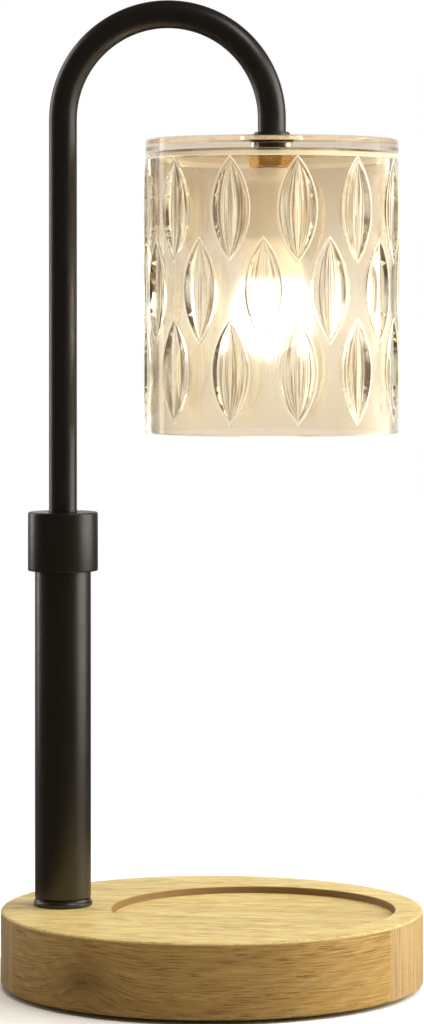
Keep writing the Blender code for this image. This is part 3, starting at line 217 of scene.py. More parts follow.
def cut_wall_tree():
    """The outside of the shade: a flat half repeat of its cuts, bent round and repeated."""
    t = Tree("olive_cut_wall", {
        "Shade Radius": "Float", "Cut Depth": "Float", "Flute Depth": "Float", "Bead Height": "Float",
        "Repeats": "Int", "Turn": "Float", "Axis X": "Float", "Merge": "Float", "Finish": "Material"})
    place = t.node("ShaderNodeSeparateXYZ", {
        "Vector": t.node("GeometryNodeInputPosition").outputs[0]}).outputs
    sunk = t.sums("MULTIPLY", t.number("cut"), t.given["Cut Depth"])
    fluted = t.sums("MULTIPLY", t.number("flute"), t.given["Flute Depth"])
    raised = t.sums("MULTIPLY", t.number("bead"), t.given["Bead Height"])
    radius = t.sums("ADD", t.given["Shade Radius"], raised)
    radius = t.sums("SUBTRACT", t.sums("SUBTRACT", radius, sunk), fluted)
    angle = t.sums("DIVIDE", place["X"], t.given["Shade Radius"])
    bent = t.point(
        t.sums("MULTIPLY", radius, t.sums("COSINE", angle)),
        t.sums("MULTIPLY", radius, t.sums("SINE", angle)), place["Z"])
    half = t.node("GeometryNodeSetPosition", {"Geometry": t.given["Geometry"], "Position": bent})
    other = t.node("GeometryNodeTransform", {"Geometry": half.outputs[0], "Scale": (1, -1, 1)})
    other = t.node("GeometryNodeFlipFaces", {"Mesh": other.outputs[0]})
    both = t.node("GeometryNodeJoinGeometry")
    t.group.links.new(half.outputs[0], both.inputs[0])
    t.group.links.new(other.outputs[0], both.inputs[0])
    return t.finish(round_an_axis(t, both.outputs[0], t.given["Repeats"], t.given["Turn"]))


def grown(tree, values, verts=(), edges=(), faces=(), numbers=None):
    """The plain mesh that a tree makes from a source shape. The modifier goes with its holder."""
    source = bpy.data.meshes.new(tree.group.name)
    source.from_pydata(verts, edges, faces)
    for name, column in (numbers or {}).items():
        source.attributes.new(name, "FLOAT", "POINT").data.foreach_set("value", column)
    holder = bpy.data.objects.new(tree.group.name, source)
    bpy.context.scene.collection.objects.link(holder)
    change = holder.modifiers.new("shape", "NODES")
    change.node_group = tree.group
    for label, value in values.items():
        change[tree.identifiers[label]] = value
    graph = bpy.context.evaluated_depsgraph_get()
    mesh = bpy.data.meshes.new_from_object(holder.evaluated_get(graph))
    bpy.data.objects.remove(holder)
    return mesh


# Shapes in plain mesh code

def softened(corners, steps=5):
    """A closed outline of (radius, height, fillet) corners in millimetres, with its fillets drawn."""
    points = []
    for index, (radius, height, fillet) in enumerate(corners):
        here = Vector((radius, height))
        back = Vector(corners[index - 1][:2]) - here
        ahead = Vector(corners[(index + 1) % len(corners)][:2]) - here
        if fillet <= 0.0:
            points.append((radius * MM, height * MM))
            continue
        half = back.angle(ahead) / 2
        reach = min(fillet / math.tan(half), 0.48 * back.length, 0.48 * ahead.length)
        bend = reach * math.tan(half)
        centre = here + (back.normalized() + ahead.normalized()).normalized() * bend / math.sin(half)
        first = here + back.normalized() * reach - centre
        last = here + ahead.normalized() * reach - centre
        start = math.atan2(first.y, first.x)
        turn = (math.atan2(last.y, last.x) - start + math.pi) % math.tau - math.pi
        for k in range(steps + 1):
            angle = start + turn * k / steps
            points.append((
                (centre.x + bend * math.cos(angle)) * MM, (centre.y + bend * math.sin(angle)) * MM))
    return points


def turned(profile, steps, centre=(0.0, 0.0), first_angle=0.0, closed=True):
    """Vertices and faces of a profile turned round an upright axis."""
    verts, rings, faces = [], [], []
    for radius, height in profile:
        if radius < 1e-9:
            rings.append([len(verts)] * steps)
            verts.append((*centre, height))
            continue
        rings.append(list(range(len(verts), len(verts) + steps)))
        for k in range(steps):
            angle = math.tau * k / steps + first_angle
            verts.append((
                centre[0] + radius * math.cos(angle), centre[1] + radius * math.sin(angle), height))
    pairs = list(zip(rings, rings[1:]))
    if closed:
        pairs.append((rings[-1], rings[0]))
    for here, there in pairs:
        if here[0] == here[-1] and there[0] == there[-1]:
            continue
        for k in range(steps):
            n = (k + 1) % steps
            corners = [here[k], here[n], there[n], there[k]]
            faces.append([c for i, c in enumerate(corners) if c != corners[i - 1]])
    return verts, faces


def prism(outline, bottom, top):
    """Vertices and faces of an upright prism over an outline of (x, y) points."""
    count = len(outline)
    verts = [(x, y, bottom) for x, y in outline] + [(x, y, top) for x, y in outline]
    faces = [list(range(count)), list(range(count, 2 * count))]
    for k in range(count):
        n = (k + 1) % count
        faces.append([k, n, n + count, k + count])
    return verts, faces


def moved(shape, matrix):
    return [tuple(matrix @ Vector(v)) for v in shape[0]], shape[1]


def open_mesh(name, shape):
    mesh = bpy.data.meshes.new(name)
    mesh.from_pydata(shape[0], [], shape[1])
    return mesh


def plain_mesh(name, shape):
    mesh = open_mesh(name, shape)
    tidy(mesh)
    return mesh


def tidy(mesh):
    """Merges doubles and turns the faces of a closed mesh outwards."""
    bm = bmesh.new()
    bm.from_mesh(mesh)
    bmesh.ops.remove_doubles(bm, verts=bm.verts, dist=MERGE)
    bmesh.ops.recalc_face_normals(bm, faces=bm.faces)
    bm.to_mesh(mesh)
    bm.free()


def carved(mesh, tools, operation="DIFFERENCE"):
    """The mesh with each tool's shape cut from it, as one plain mesh."""
    target = bpy.data.objects.new("carved", mesh)
    helpers = [target]
    bpy.context.scene.collection.objects.link(target)
    for index, shape in enumerate(tools):
        tool = bpy.data.objects.new(f"tool_{index}", plain_mesh(f"tool_{index}", shape))
        bpy.context.scene.collection.objects.link(tool)
        helpers.append(tool)
        change = target.modifiers.new(tool.name, "BOOLEAN")
        change.operation = operation
        change.solver = "EXACT"
        change.object = tool
    graph = bpy.context.evaluated_depsgraph_get()
    made = bpy.data.meshes.new_from_object(target.evaluated_get(graph))
    for helper in helpers:
        bpy.data.objects.remove(helper)
    return made


def piece(name, mesh, finish, body, stands_for, slot, sharp=SHARP_ANGLE):
    """A finished mesh that rides on a body in place of its CAD nodes."""
    mesh.name = name
    mesh.materials.clear()
    mesh.materials.append(finish)
    mesh.shade_smooth()
    mesh.set_sharp_from_angle(angle=sharp)
    made = bpy.data.objects.new(name, mesh)
    bpy.context.scene.collection.objects.link(made)
    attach(made, body)
    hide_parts(*stands_for)
    return made


def turned_piece(name, corners, steps, centre, finish, body, stands_for, slot):
    mesh = plain_mesh(name, turned(softened(corners), steps, centre))
    return piece(name, mesh, finish, body, stands_for, slot)


# Materials

class Paint:
    """Short ways to add and link shader nodes in one material, or in the world."""

    def __init__(self, name, world=False):
        self.owner = bpy.data.worlds.new(name) if world else bpy.data.materials.new(name)
        self.owner.use_nodes = True
        self.tree = self.owner.node_tree
        self.tree.nodes.clear()
        self.output = self.tree.nodes.new("ShaderNodeOutputWorld" if world else "ShaderNodeOutputMaterial")

    def node(self, kind, values=None, **settings):
        made = self.tree.nodes.new(kind)
        for key, value in settings.items():
            setattr(made, key, value)
        for key, value in (values or {}).items():
            self.fill(made.inputs[key], value)
        return made

    def fill(self, slot, value):
        if isinstance(value, bpy.types.NodeSocket):
            self.tree.links.new(value, slot)
        elif isinstance(value, tuple) and slot.type == "RGBA":
            slot.default_value = (*value, 1.0)
        else:
            slot.default_value = value

    def place(self):
        return self.node("ShaderNodeTexCoord").outputs["Object"]

    def stretch(self, vector, scale, turn=(0.0, 0.0, 0.0)):
        return self.node("ShaderNodeMapping", {
            "Vector": vector, "Scale": scale, "Rotation": turn}).outputs["Vector"]

    def noise(self, vector, scale=1.0, detail=3.0, rough=0.5, warp=0.0):
        return self.node("ShaderNodeTexNoise", {
            "Vector": vector, "Scale": scale, "Detail": detail, "Roughness": rough,
            "Distortion": warp}).outputs["Fac"]

    def ramp(self, value, stops):
        made = self.node("ShaderNodeValToRGB", {"Fac": value})
        elements = made.color_ramp.elements
        while len(elements) < len(stops):
            elements.new(0.5)
        for element, (position, colour) in zip(elements, stops):
            element.position = position
            element.color = (*colour, 1.0)
        return made.outputs["Color"]

    def sums(self, operation, *values):
        made = self.node("ShaderNodeMath", operation=operation)
        for slot, value in zip(made.inputs, values):
            self.fill(slot, value)
        return made.outputs["Value"]

    def span(self, value, low, high, new_low=0.0, new_high=1.0):
        return self.node("ShaderNodeMapRange", {
            "Value": value, "From Min": low, "From Max": high, "To Min": new_low,
            "To Max": new_high}).outputs["Result"]

    def band(self, value, low, low_full, high_full, high):
        """A share that is full from low_full to high_full and nothing outside low to high."""
        return self.sums("MULTIPLY", self.span(value, low, low_full), self.span(value, high, high_full))

    def from_axis(self, x, y, centre):
        """How far a place is from an upright axis at X = centre."""
        off = self.sums("SUBTRACT", x, centre)
        return self.sums("SQRT", self.sums(
            "ADD", self.sums("MULTIPLY", off, off), self.sums("MULTIPLY", y, y)))

    def mix(self, share, first, second, blend="MIX"):
        made = self.node("ShaderNodeMix", data_type="RGBA", blend_type=blend)
        for slot, value in zip((made.inputs[0], made.inputs[6], made.inputs[7]), (share, first, second)):
            self.fill(slot, value)
        return made.outputs[2]

    def bump(self, height, strength, distance):
        return self.node("ShaderNodeBump", {
            "Height": height, "Strength": strength, "Distance": distance}).outputs["Normal"]

    def surface(self, **values):
        return self.node(
            "ShaderNodeBsdfPrincipled",
            {key.replace("_", " "): value for key, value in values.items()}).outputs["BSDF"]

    def done(self, shader):
        self.tree.links.new(shader, self.output.inputs["Surface"])
        return self.owner


def darker(colour, share):
    return tuple(channel * share for channel in colour)


def powder_coat(name, colour, roughness, gloss):
    """Satin black powder coat: faint orange peel, uneven gloss and a little dust."""
    p = Paint(name)
    place = p.place()
    cloud = p.noise(place, 55.0, 4.0, 0.6)
    grain = p.noise(place, 2600.0, 2.0)
    peel = p.noise(place, 900.0, 2.0, 0.45)
    tone = p.mix(p.span(cloud, 0.35, 0.70), colour, darker(colour, 1.6))
    rough = p.sums("ADD", p.span(cloud, 0.3, 0.7, roughness - 0.04, roughness + 0.05),
                   p.span(grain, 0.3, 0.7, -0.02, 0.02))
    height = p.sums("ADD", p.sums("MULTIPLY", peel, 0.7), p.sums("MULTIPLY", grain, 0.3))
    return p.done(p.surface(
        Base_Color=tone, Roughness=rough, Specular_IOR_Level=gloss,
        Normal=p.bump(height, 0.10, 0.00005)))


def bare_metal(name, colour, roughness, streak=(300.0, 300.0, 2500.0)):
    """Bare or plated metal with fine drawing marks and a cloudy tarnish."""
    p = Paint(name)
    place = p.place()
    marks = p.noise(p.stretch(place, streak), 1.0, 3.0, 0.6)
    cloud = p.noise(place, 180.0, 4.0, 0.6)
    tone = p.mix(p.span(cloud, 0.3, 0.75), colour, darker(colour, 0.72))
    rough = p.sums("ADD", p.span(marks, 0.3, 0.7, roughness - 0.06, roughness + 0.08),
                   p.span(cloud, 0.3, 0.7, -0.04, 0.06))
    return p.done(p.surface(
        Base_Color=tone, Roughness=rough, Metallic=1.0, Normal=p.bump(marks, 0.15, 0.00003)))


def moulded(name, colour, roughness, grain_scale=1500.0):
    """Rubber, nylon or cable sheath: a matte moulded skin with a fine grain."""
    p = Paint(name)
    place = p.place()
    cloud = p.noise(place, 120.0, 4.0, 0.6)
    grain = p.noise(place, grain_scale, 3.0, 0.6)
    tone = p.mix(p.span(cloud, 0.3, 0.7), colour, darker(colour, 1.2))
    rough = p.span(grain, 0.3, 0.7, roughness - 0.08, roughness + 0.08)
    return p.done(p.surface(
        Base_Color=tone, Roughness=rough, Normal=p.bump(grain, 0.4, 0.00004)))


def glazed(name, colour, glow):
    """Glazed porcelain or glass bead with a few iron specks. Its glow is emission, painted light that
    stands in for the lit bulb beside it.
    """
    p = Paint(name)
    place = p.place()
    cloud = p.noise(place, 90.0, 3.0)
    specks = p.noise(place, 1100.0, 2.0)
    even = p.mix(p.span(cloud, 0.3, 0.7), colour, darker(colour, 0.93))
    tone = p.mix(p.span(specks, 0.70, 0.80), even, darker(colour, 0.6))
    return p.done(p.surface(
        Base_Color=tone, Roughness=p.span(cloud, 0.3, 0.7, 0.14, 0.24), Coat_Weight=0.4,
        Coat_Roughness=0.08, Emission_Color=tone, Emission_Strength=glow,
        Normal=p.bump(p.noise(place, 260.0, 2.0), 0.12, 0.0001)))


def knot_share(p, x, y, z):
    """How near a place is to the small knot in the front of the rim: 1 at its heart, 0 far off."""
    def square(value, centre, scale):
        away = p.sums("MULTIPLY", p.sums("SUBTRACT", value, centre), scale)
        return p.sums("MULTIPLY", away, away)

    spread = p.sums("ADD", p.sums("ADD", square(x, -37.0 * MM, 75.0), square(y, -66.0 * MM, 60.0)),
                    square(z, 12.0 * MM, 110.0))
    return p.sums("POWER", 2.718, p.sums("MULTIPLY", spread, -1.0))


def wood_edges(p, x, y, z):
    """Shares of the base's rim and of the dish's wall."""
    radius = p.from_axis(x, y, 0.0)
    rim = p.sums("MULTIPLY", p.span(radius, BASE_RADIUS - 0.9 * MM, BASE_RADIUS - 0.3 * MM),
                 p.span(z, WOOD_TOP - 1.0 * MM, WOOD_TOP - 0.5 * MM, 1.0, 0.0))
    wall = p.band(p.from_axis(x, y, DISH_X), DISH_RADIUS - 0.25 * MM, DISH_RADIUS - 0.1 * MM,
                  DISH_RADIUS + 0.2 * MM, DISH_RADIUS + 0.4 * MM)
    return rim, wall


def growth_rings(p, x, y, z, along, knot):
    """The tone of the year rings, which lie round a heart below the base and swing at the knot."""
    wander = p.noise(p.stretch(along, (9.0, 30.0, 30.0)), 1.0, 3.0)
    depth = p.sums("SUBTRACT", p.sums("ADD", z, 150.0 * MM), p.sums("MULTIPLY", x, 0.045))
    depth = p.sums("ADD", depth, p.sums("MULTIPLY", knot, 9.0 * MM))
    side = p.sums("SUBTRACT", y, 60.0 * MM)
    from_heart = p.sums("SQRT", p.sums("ADD", p.sums("MULTIPLY", side, side),
                                       p.sums("MULTIPLY", depth, depth)))
    from_heart = p.sums("ADD", from_heart, p.sums("MULTIPLY", wander, 16.0 * MM))
    return p.ramp(p.sums("FRACT", p.sums("MULTIPLY", from_heart, 170.0)), [
        (0.0, (0.56, 0.39, 0.18)), (0.45, (0.66, 0.48, 0.24)), (0.80, (0.80, 0.62, 0.34)),
        (0.93, (0.68, 0.50, 0.26)), (1.0, (0.56, 0.39, 0.18))])


def pale_wood():
    """Pale hardwood with its grain along X: rings, fibres, dark pore dashes, one small knot, and painted
    shade on the rim and the dish's wall.
    """
    p = Paint("pale_wood_grain")
    place = p.place()
    x, y, z = p.node("ShaderNodeSeparateXYZ", {"Vector": place}).outputs

    knot = knot_share(p, x, y, z)
    rim, wall = wood_edges(p, x, y, z)
    edge = p.sums("MAXIMUM", rim, wall)

    # The rim and the dish's wall show the wood's edge, where the grain runs level
    along = p.node("ShaderNodeCombineXYZ", {
        "X": x, "Y": p.sums("MULTIPLY", y, p.sums("SUBTRACT", 1.0, edge)),
        "Z": p.sums("SUBTRACT", z, p.sums("MULTIPLY", knot, 7.0 * MM))}).outputs[0]
    ring_tone = growth_rings(p, x, y, z, along, knot)

    slant = (0.0, math.radians(2.6), 0.0)
    fibres = p.noise(p.stretch(along, (70.0, 2600.0, 2800.0), slant), 1.0, 4.0, 0.65)
    bands = p.noise(p.stretch(along, (7.0, 170.0, 240.0), slant), 1.0, 4.0, 0.6)
    pore_field = p.noise(p.stretch(along, (110.0, 2700.0, 3100.0), slant), 1.0, 2.0, 0.55)
    pore_gate = p.noise(p.stretch(along, (30.0, 200.0, 260.0), slant), 1.0, 2.0)
    pores = p.sums("MULTIPLY", p.span(pore_field, 0.53, 0.60), p.span(pore_gate, 0.34, 0.54))

    band_tone = p.ramp(bands, [
        (0.25, (0.60, 0.42, 0.19)), (0.45, (0.70, 0.51, 0.245)), (0.60, (0.78, 0.59, 0.305)),
        (0.78, (0.83, 0.66, 0.375))])
    tone = p.mix(0.35, band_tone, ring_tone)
    tone = p.mix(p.span(fibres, 0.47, 0.60, 0.0, 0.60), tone, (0.38, 0.235, 0.09))
    tone = p.mix(p.sums("MULTIPLY", pores, 0.70), tone, (0.19, 0.10, 0.035))
    tone = p.mix(p.sums("MULTIPLY", p.sums("POWER", knot, 1.6), 0.55), tone, (0.18, 0.095, 0.035))

    # Where the rim faces along X it shows end grain
    end = p.span(p.sums("ABSOLUTE", x), 65.6 * MM, 66.4 * MM)
    lines = p.noise(p.stretch(place, (60.0, 1100.0, 26.0)), 1.0, 4.0, 0.6)
    end_tone = p.ramp(lines, [
        (0.30, (0.32, 0.20, 0.08)), (0.50, (0.48, 0.33, 0.145)), (0.70, (0.58, 0.43, 0.22))])
    tone = p.mix(1.0, tone, (1.00, 1.08, 0.90), "MULTIPLY")
    # Painted shade: the rim is painted darker and warmer than the top, and the dish's wall darker still.
    shaded_brown = p.mix(1.0, tone, (0.73, 0.585, 0.40), "MULTIPLY")
    shaded_brown = p.mix(p.sums("MULTIPLY", wall, 0.8), shaded_brown, (0.20, 0.115, 0.045))
    tone = p.mix(edge, tone, p.mix(p.sums("MULTIPLY", end, rim), shaded_brown, end_tone))

    rough = p.sums("ADD", p.span(fibres, 0.3, 0.7, 0.42, 0.56), p.sums("MULTIPLY", pores, 0.2))
    height = p.sums("SUBTRACT", p.sums("MULTIPLY", fibres, 0.4), pores)
    return p.done(p.surface(
        Base_Color=tone, Roughness=rough, Specular_IOR_Level=0.60,
        Normal=p.bump(height, 0.45, 0.00012)))


def glass_tint_and_painted_light(p, z, wave):
    """Champagne tint, with painted shade that makes it darker towards the shade's top and a painted
    reflection that makes it paler where the wall is seen edge on.
    """
    rise = p.sums("ADD", p.span(z, SHADE_LOW, SHADE_HIGH), p.span(wave, 0.3, 0.7, -0.12, 0.12))
    # Painted shade: the tint darkens towards the top.
    tint_with_painted_shade = p.ramp(rise, [
        (0.0, (0.870, 0.790, 0.655)), (0.50, (0.900, 0.845, 0.755)), (0.80, (0.800, 0.710, 0.580)),
        (1.0, (0.710, 0.610, 0.480))])
    # Painted reflection of the white backdrop: paler where the wall is seen edge on.
    facing = p.node("ShaderNodeLayerWeight", {"Blend": 0.5}).outputs["Facing"]
    return p.mix(p.sums("POWER", facing, 3.0), tint_with_painted_shade, (0.93, 0.88, 0.77))


def leaf_streak_noise(p, x, y, z, across):
    """A noise of long narrow streaks down each leaf: the mask for painted shade and painted highlights in
    the cuts.
    """
    return p.noise(p.node("ShaderNodeCombineXYZ", {
        "X": p.sums("MULTIPLY", across, 7.5), "Y": p.sums("MULTIPLY", p.sums("ADD", x, y), 170.0),
        "Z": p.sums("MULTIPLY", z, 28.0)}).outputs[0], 1.0, 2.0, 0.6)


def painted_dark_marks(p, tone, place, radius, z, across, streak_noise, in_cut):
    """The tint with painted shade that stands in for dark refraction: streaks in the leaves, a broken line
    round each, a ring under the top.
    """
    # Painted shade: dark streaks in the leaves, a dark line round each leaf and a dark ring under the top.
    streak = p.sums("MULTIPLY", p.span(streak_noise, 0.49, 0.41), in_cut)
    tone = p.mix(p.sums("MULTIPLY", streak, 0.90), tone, (0.19, 0.13, 0.07))
    foot = p.band(across, 0.95, 1.02, 1.12, 1.22)
    broken = p.span(p.noise(p.stretch(place, (45.0, 45.0, 60.0)), 1.0, 2.0), 0.42, 0.56, 0.30, 1.0)
    tone = p.mix(p.sums("MULTIPLY", foot, broken), tone, (0.05, 0.035, 0.018))
    below = p.sums("MULTIPLY", p.band(radius, 36.0 * MM, 36.5 * MM, 37.6 * MM, 38.1 * MM),
                   p.span(z, 296.9 * MM, 296.6 * MM))
    return p.mix(p.sums("MULTIPLY", below, 0.8), tone, (0.20, 0.13, 0.07))


def painted_highlight_lines(p, radius, z, across, streak_noise, in_cut):
    """Share of painted highlight, cream and glowing: both sides of each bead, leaf crests, gleams and the
    step under the top.
    """
    outer_line = p.band(across, 1.62, 1.74, 1.80, 1.92)
    inner_line = p.band(across, 1.26, 1.34, 1.40, 1.48)
    crest = p.span(across, 0.05, 0.015)
    gleam = p.sums("MULTIPLY", p.span(streak_noise, 0.54, 0.60), in_cut)
    step = p.sums("MULTIPLY", p.band(z, 293.5 * MM, 293.8 * MM, 295.2 * MM, 295.6 * MM),
                  p.span(radius, 40.4 * MM, 40.2 * MM))
    line = p.sums("MULTIPLY", outer_line, 0.85)
    for share, strength in ((inner_line, 0.55), (crest, 0.4), (gleam, 0.80), (step, 0.55)):
        line = p.sums("ADD", line, p.sums("MULTIPLY", share, strength))
    return line


def champagne_glass():
    """Champagne pressed glass, clear outside and softly rough inside, lit by the bulb.

    The attribute across runs over each cut, as cut_shares gives it. The ridges round the cuts carry
    painted highlights as glowing cream lines, beside painted dark lines, and a painted warm glow inside
    stands in for the bulb's light.
    """
    p = Paint("champagne_pressed_glass")
    place = p.place()
    x, y, z = p.node("ShaderNodeSeparateXYZ", {"Vector": place}).outputs
    across = p.node("ShaderNodeAttribute", attribute_name="across").outputs["Fac"]
    in_cut = p.span(across, 1.0, 1.1, 1.0, 0.0)
    wave = p.noise(p.stretch(place, (60.0, 60.0, 14.0)), 1.0, 2.0)
    fine = p.noise(place, 420.0, 2.0)
    radius = p.from_axis(x, y, SHADE_X)
    inside = p.sums("MULTIPLY", p.span(radius, 41.2 * MM, 41.8 * MM, 1.0, 0.0),
                    p.span(z, 286.0 * MM, 289.0 * MM, 1.0, 0.1))
    streak_noise = leaf_streak_noise(p, x, y, z, across)
    tone = painted_dark_marks(p, glass_tint_and_painted_light(p, z, wave), place, radius, z, across, streak_noise, in_cut)
    rough = p.sums("ADD", p.sums("MULTIPLY", inside, 0.24), p.span(fine, 0.35, 0.75, 0.0, 0.02))
    height = p.sums("ADD", wave, p.sums("MULTIPLY", fine, 0.06))
    glass = p.surface(
        Base_Color=tone, Roughness=rough, IOR=1.52, Transmission_Weight=1.0,
        Specular_Tint=p.mix(inside, (0.16, 0.15, 0.13), (0.05, 0.045, 0.04)),
        Normal=p.bump(height, 0.10, 0.0006))

    # A ray that leaves the wall, or casts a shadow, passes straight on, which keeps the far side clear
    thin = p.node("ShaderNodeGamma", {"Color": tone, "Gamma": 0.5}).outputs[0]
    clear = p.node("ShaderNodeBsdfTransparent", {"Color": thin}).outputs[0]
    path = p.node("ShaderNodeLightPath").outputs
    leaving = p.node("ShaderNodeNewGeometry").outputs["Backfacing"]
    straight = p.sums("SUBTRACT", 1.0, path["Is Transmission Ray"])
    share = p.sums("MULTIPLY", p.span(leaving, 0.0, 1.0, 0.22, 1.0), straight)
    share = p.sums("MAXIMUM", path["Is Shadow Ray"], share)
    wall = p.node("ShaderNodeMixShader", {0: share, 1: glass, 2: clear}).outputs[0]

    # Painted highlight: the cream lines glow by emission.
    line = painted_highlight_lines(p, radius, z, across, streak_noise, in_cut)
    line = p.sums("MULTIPLY", line, p.sums("SUBTRACT", 1.0, path["Is Shadow Ray"]))
    cream = p.surface(
        Base_Color=(1.0, 0.96, 0.78), Roughness=0.25, Emission_Color=(1.0, 0.95, 0.73),
        Emission_Strength=0.46)
    shell = p.node("ShaderNodeMixShader", {0: line, 1: wall, 2: cream}).outputs[0]
    # Painted glow: a warm emission on the inside near the bulb stands in for the bulb's light on the
    # glass.
    near = p.span(p.sums("ABSOLUTE", p.sums("SUBTRACT", z, 232.0 * MM)), 40.0 * MM, 8.0 * MM)
    painted_bulb_glow = p.node("ShaderNodeEmission", {
        "Color": (1.0, 0.86, 0.52),
        "Strength": p.sums("MULTIPLY", p.sums("MULTIPLY", near, inside), 0.06)}).outputs[0]
    return p.done(p.node("ShaderNodeAddShader", {0: shell, 1: painted_bulb_glow}).outputs[0])


def lit_bulb():
    """Frosted bulb glass, lit from inside: white round the filament, cream at the neck."""
    p = Paint("frosted_bulb_lit")
    z = p.node("ShaderNodeSeparateXYZ", {"Vector": p.place()}).outputs["Z"]
    frost = p.noise(p.place(), 900.0, 2.0)
    colour = p.mix(p.span(z, 0.2485, 0.2535), (1.0, 0.96, 0.84), (1.0, 0.88, 0.62))
    mirrored = p.node("ShaderNodeLightPath").outputs["Is Glossy Ray"]
    strength = p.sums("MULTIPLY", p.span(z, 0.2490, 0.2524, 3.2, 0.27),
                      p.span(frost, 0.2, 0.8, 0.96, 1.04))
    strength = p.sums("MULTIPLY", strength, p.span(mirrored, 0.0, 1.0, 1.0, 1.8))
    return p.done(p.surface(
        Base_Color=(0.92, 0.88, 0.80), Roughness=0.5, Emission_Color=colour,
        Emission_Strength=strength, Normal=p.bump(frost, 0.2, 0.00003)))


BLACK = powder_coat("black_powder_coat_satin", (0.0016, 0.0013, 0.0009), 0.36, 1.00)
PLATE = powder_coat("black_painted_plate", (0.014, 0.014, 0.014), 0.50, 0.40)
STEEL = bare_metal("zinc_plated_steel", (0.60, 0.61, 0.62), 0.32)
BRASS = bare_metal("polished_brass", (0.90, 0.61, 0.27), 0.24)
NICKEL = bare_metal("nickel_plate", (0.66, 0.63, 0.57), 0.26)
TUNGSTEN = bare_metal("tungsten_wire", (0.34, 0.32, 0.30), 0.42)
RUBBER = moulded("black_rubber_pad", (0.016, 0.016, 0.016), 0.82)
NYLON = moulded("natural_nylon", (0.72, 0.70, 0.62), 0.48, 700.0)
SILICONE = moulded("clear_silicone_seal", (0.70, 0.66, 0.56), 0.45, 600.0)
SHEATH = moulded("dark_lead_sheath", (0.022, 0.019, 0.016), 0.60)
BEAD = glazed("black_glass_bead", (0.02, 0.02, 0.024), 0.0)
# The porcelain's glow is painted light from the bulb.
PORCELAIN = glazed("cream_porcelain_glaze", (0.82, 0.77, 0.66), 0.35)
WOOD = pale_wood()
GLASS = champagne_glass()
BULB = lit_bulb()

COPIES = copies_tree()
TUBE = tube_tree()
SLACK = slack_tree()
CUT_WALL = cut_wall_tree()


# Base

def wood_tools():
    """What is cut from the wooden base: cord inlet, dish, post fixing and wiring channel."""
    dish = turned(softened([
        (0.0, 25.0, 0.0), (DISH_RADIUS / MM, 25.0, 0.25), (DISH_RADIUS / MM, 27.2, 0.2),
        (50.5, 27.5, 0.0), (51.6, 28.6, 0.0), (51.6, 40.0, 0.0), (0.0, 40.0, 0.0)]), 288, (DISH_X, 0.0))
    stud = turned(softened([(0, 3, 0), (5.3, 3, 0), (5.3, 29, 0), (0, 29, 0)]), 48, AT_POST)
    pocket = turned(softened([(0, 1, 0), (15, 1, 0), (15, 20.5, 0), (0, 20.5, 0)]), 64, AT_POST)
    away = Matrix.Rotation(INLET_TURN, 4, "Z")
    inlet = moved(turned(softened([
        (0, INLET_RING / MM, 0), (4.2, INLET_RING / MM, 0), (4.2, 74, 0), (5.8, 74, 0), (5.8, 77, 0),
        (0, 77, 0)]), 48),
        Matrix.Translation((0, 0, 9.5 * MM)) @ away @ Matrix.Rotation(math.pi / 2, 4, "Y"))
    start, end = Vector((POST_X, 0.0, 0.0)), away @ Vector((INLET_RING, 0.0, 0.0))
    run = end - start
    half, wide = run.length / 2 + 4.0 * MM, 4.0 * MM
    across = Matrix.Translation((start + end) / 2) @ Matrix.Rotation(math.atan2(run.y, run.x), 4, "Z")
    channel = moved(prism(
        [(-half, -wide), (half, -wide), (half, wide), (-half, wide)], 1.0 * MM, 12.7 * MM), across)
    corner = turned(softened([(0, 1, 0), (10, 1, 0), (10, 13, 0), (0, 13, 0)]), 48, (end.x, end.y))
    return [inlet, dish, stud, pocket, channel, corner]


def build_base():
    rim = turned(softened([
        (0.0, 3.5, 0.0), (70.1, 3.5, 0.0), (70.1, 1.5, 0.3), (75.0, 1.5, 0.9), (75.0, 27.5, 0.9),
        (0.0, 27.5, 0.0)], 6), 288)
    wood = carved(plain_mesh("wood_blank", rim), wood_tools())
    piece("wood_base_finished", wood, WOOD, "base", ["wood_base"], "pale_wood")

    spot = PLATE_SCREW_RING
    slots = [
        prism([(x * MM + spot, y * MM) for x, y in outline], 1.5 * MM, 2.7 * MM)
        for outline in (
            [(-1.7, -0.28), (1.7, -0.28), (1.7, 0.28), (-1.7, 0.28)],
            [(-0.28, -1.7), (0.28, -1.7), (0.28, 1.7), (-0.28, 1.7)])]
    screw = carved(plain_mesh("screw_blank", turned(softened([
        (0.0, 1.8, 0.0), (3.15, 1.8, 0.12), (1.6, 3.1, 0.2), (1.6, 13.2, 0.0), (0.0, 13.8, 0.0)]), 40,
        (spot, 0.0))), slots)
    repeat("plate_screws_finished", screw, 4, math.radians(45), STEEL, "base",
           [f"plate_screw_{i}" for i in range(1, 5)], "zinc_steel")

    pad = plain_mesh("pad_blank", turned(softened([
        (0.0, 0.0, 0.0), (4.4, 0.0, 0.0), (4.7, 0.3, 0.0), (5.3, 0.3, 0.0), (5.6, 0.0, 0.0),
        (7.0, 0.0, 0.35), (7.0, 1.5, 0.15), (0.0, 1.5, 0.0)]), 72, (PAD_RING, 0.0)))
    repeat("foot_pads_finished", pad, 4, 0.0, RUBBER, "base",
           [f"foot_pad_{i}" for i in range(1, 5)], "black_rubber")


def repeat(name, mesh, count, first_angle, finish, body, stands_for, slot):
    """One finished piece that holds count copies of a mesh round the base's axis."""
    verts = [tuple(v.co) for v in mesh.vertices]
    faces = [list(p.vertices) for p in mesh.polygons]
    made = grown(COPIES, {
        "Copies": count, "First Angle": first_angle, "Axis X": 0.0, "Merge": 0.0, "Finish": finish,
    }, verts, (), faces)
    tidy(made)
    return piece(name, made, finish, body, stands_for, slot)


# Post, collar and swan neck

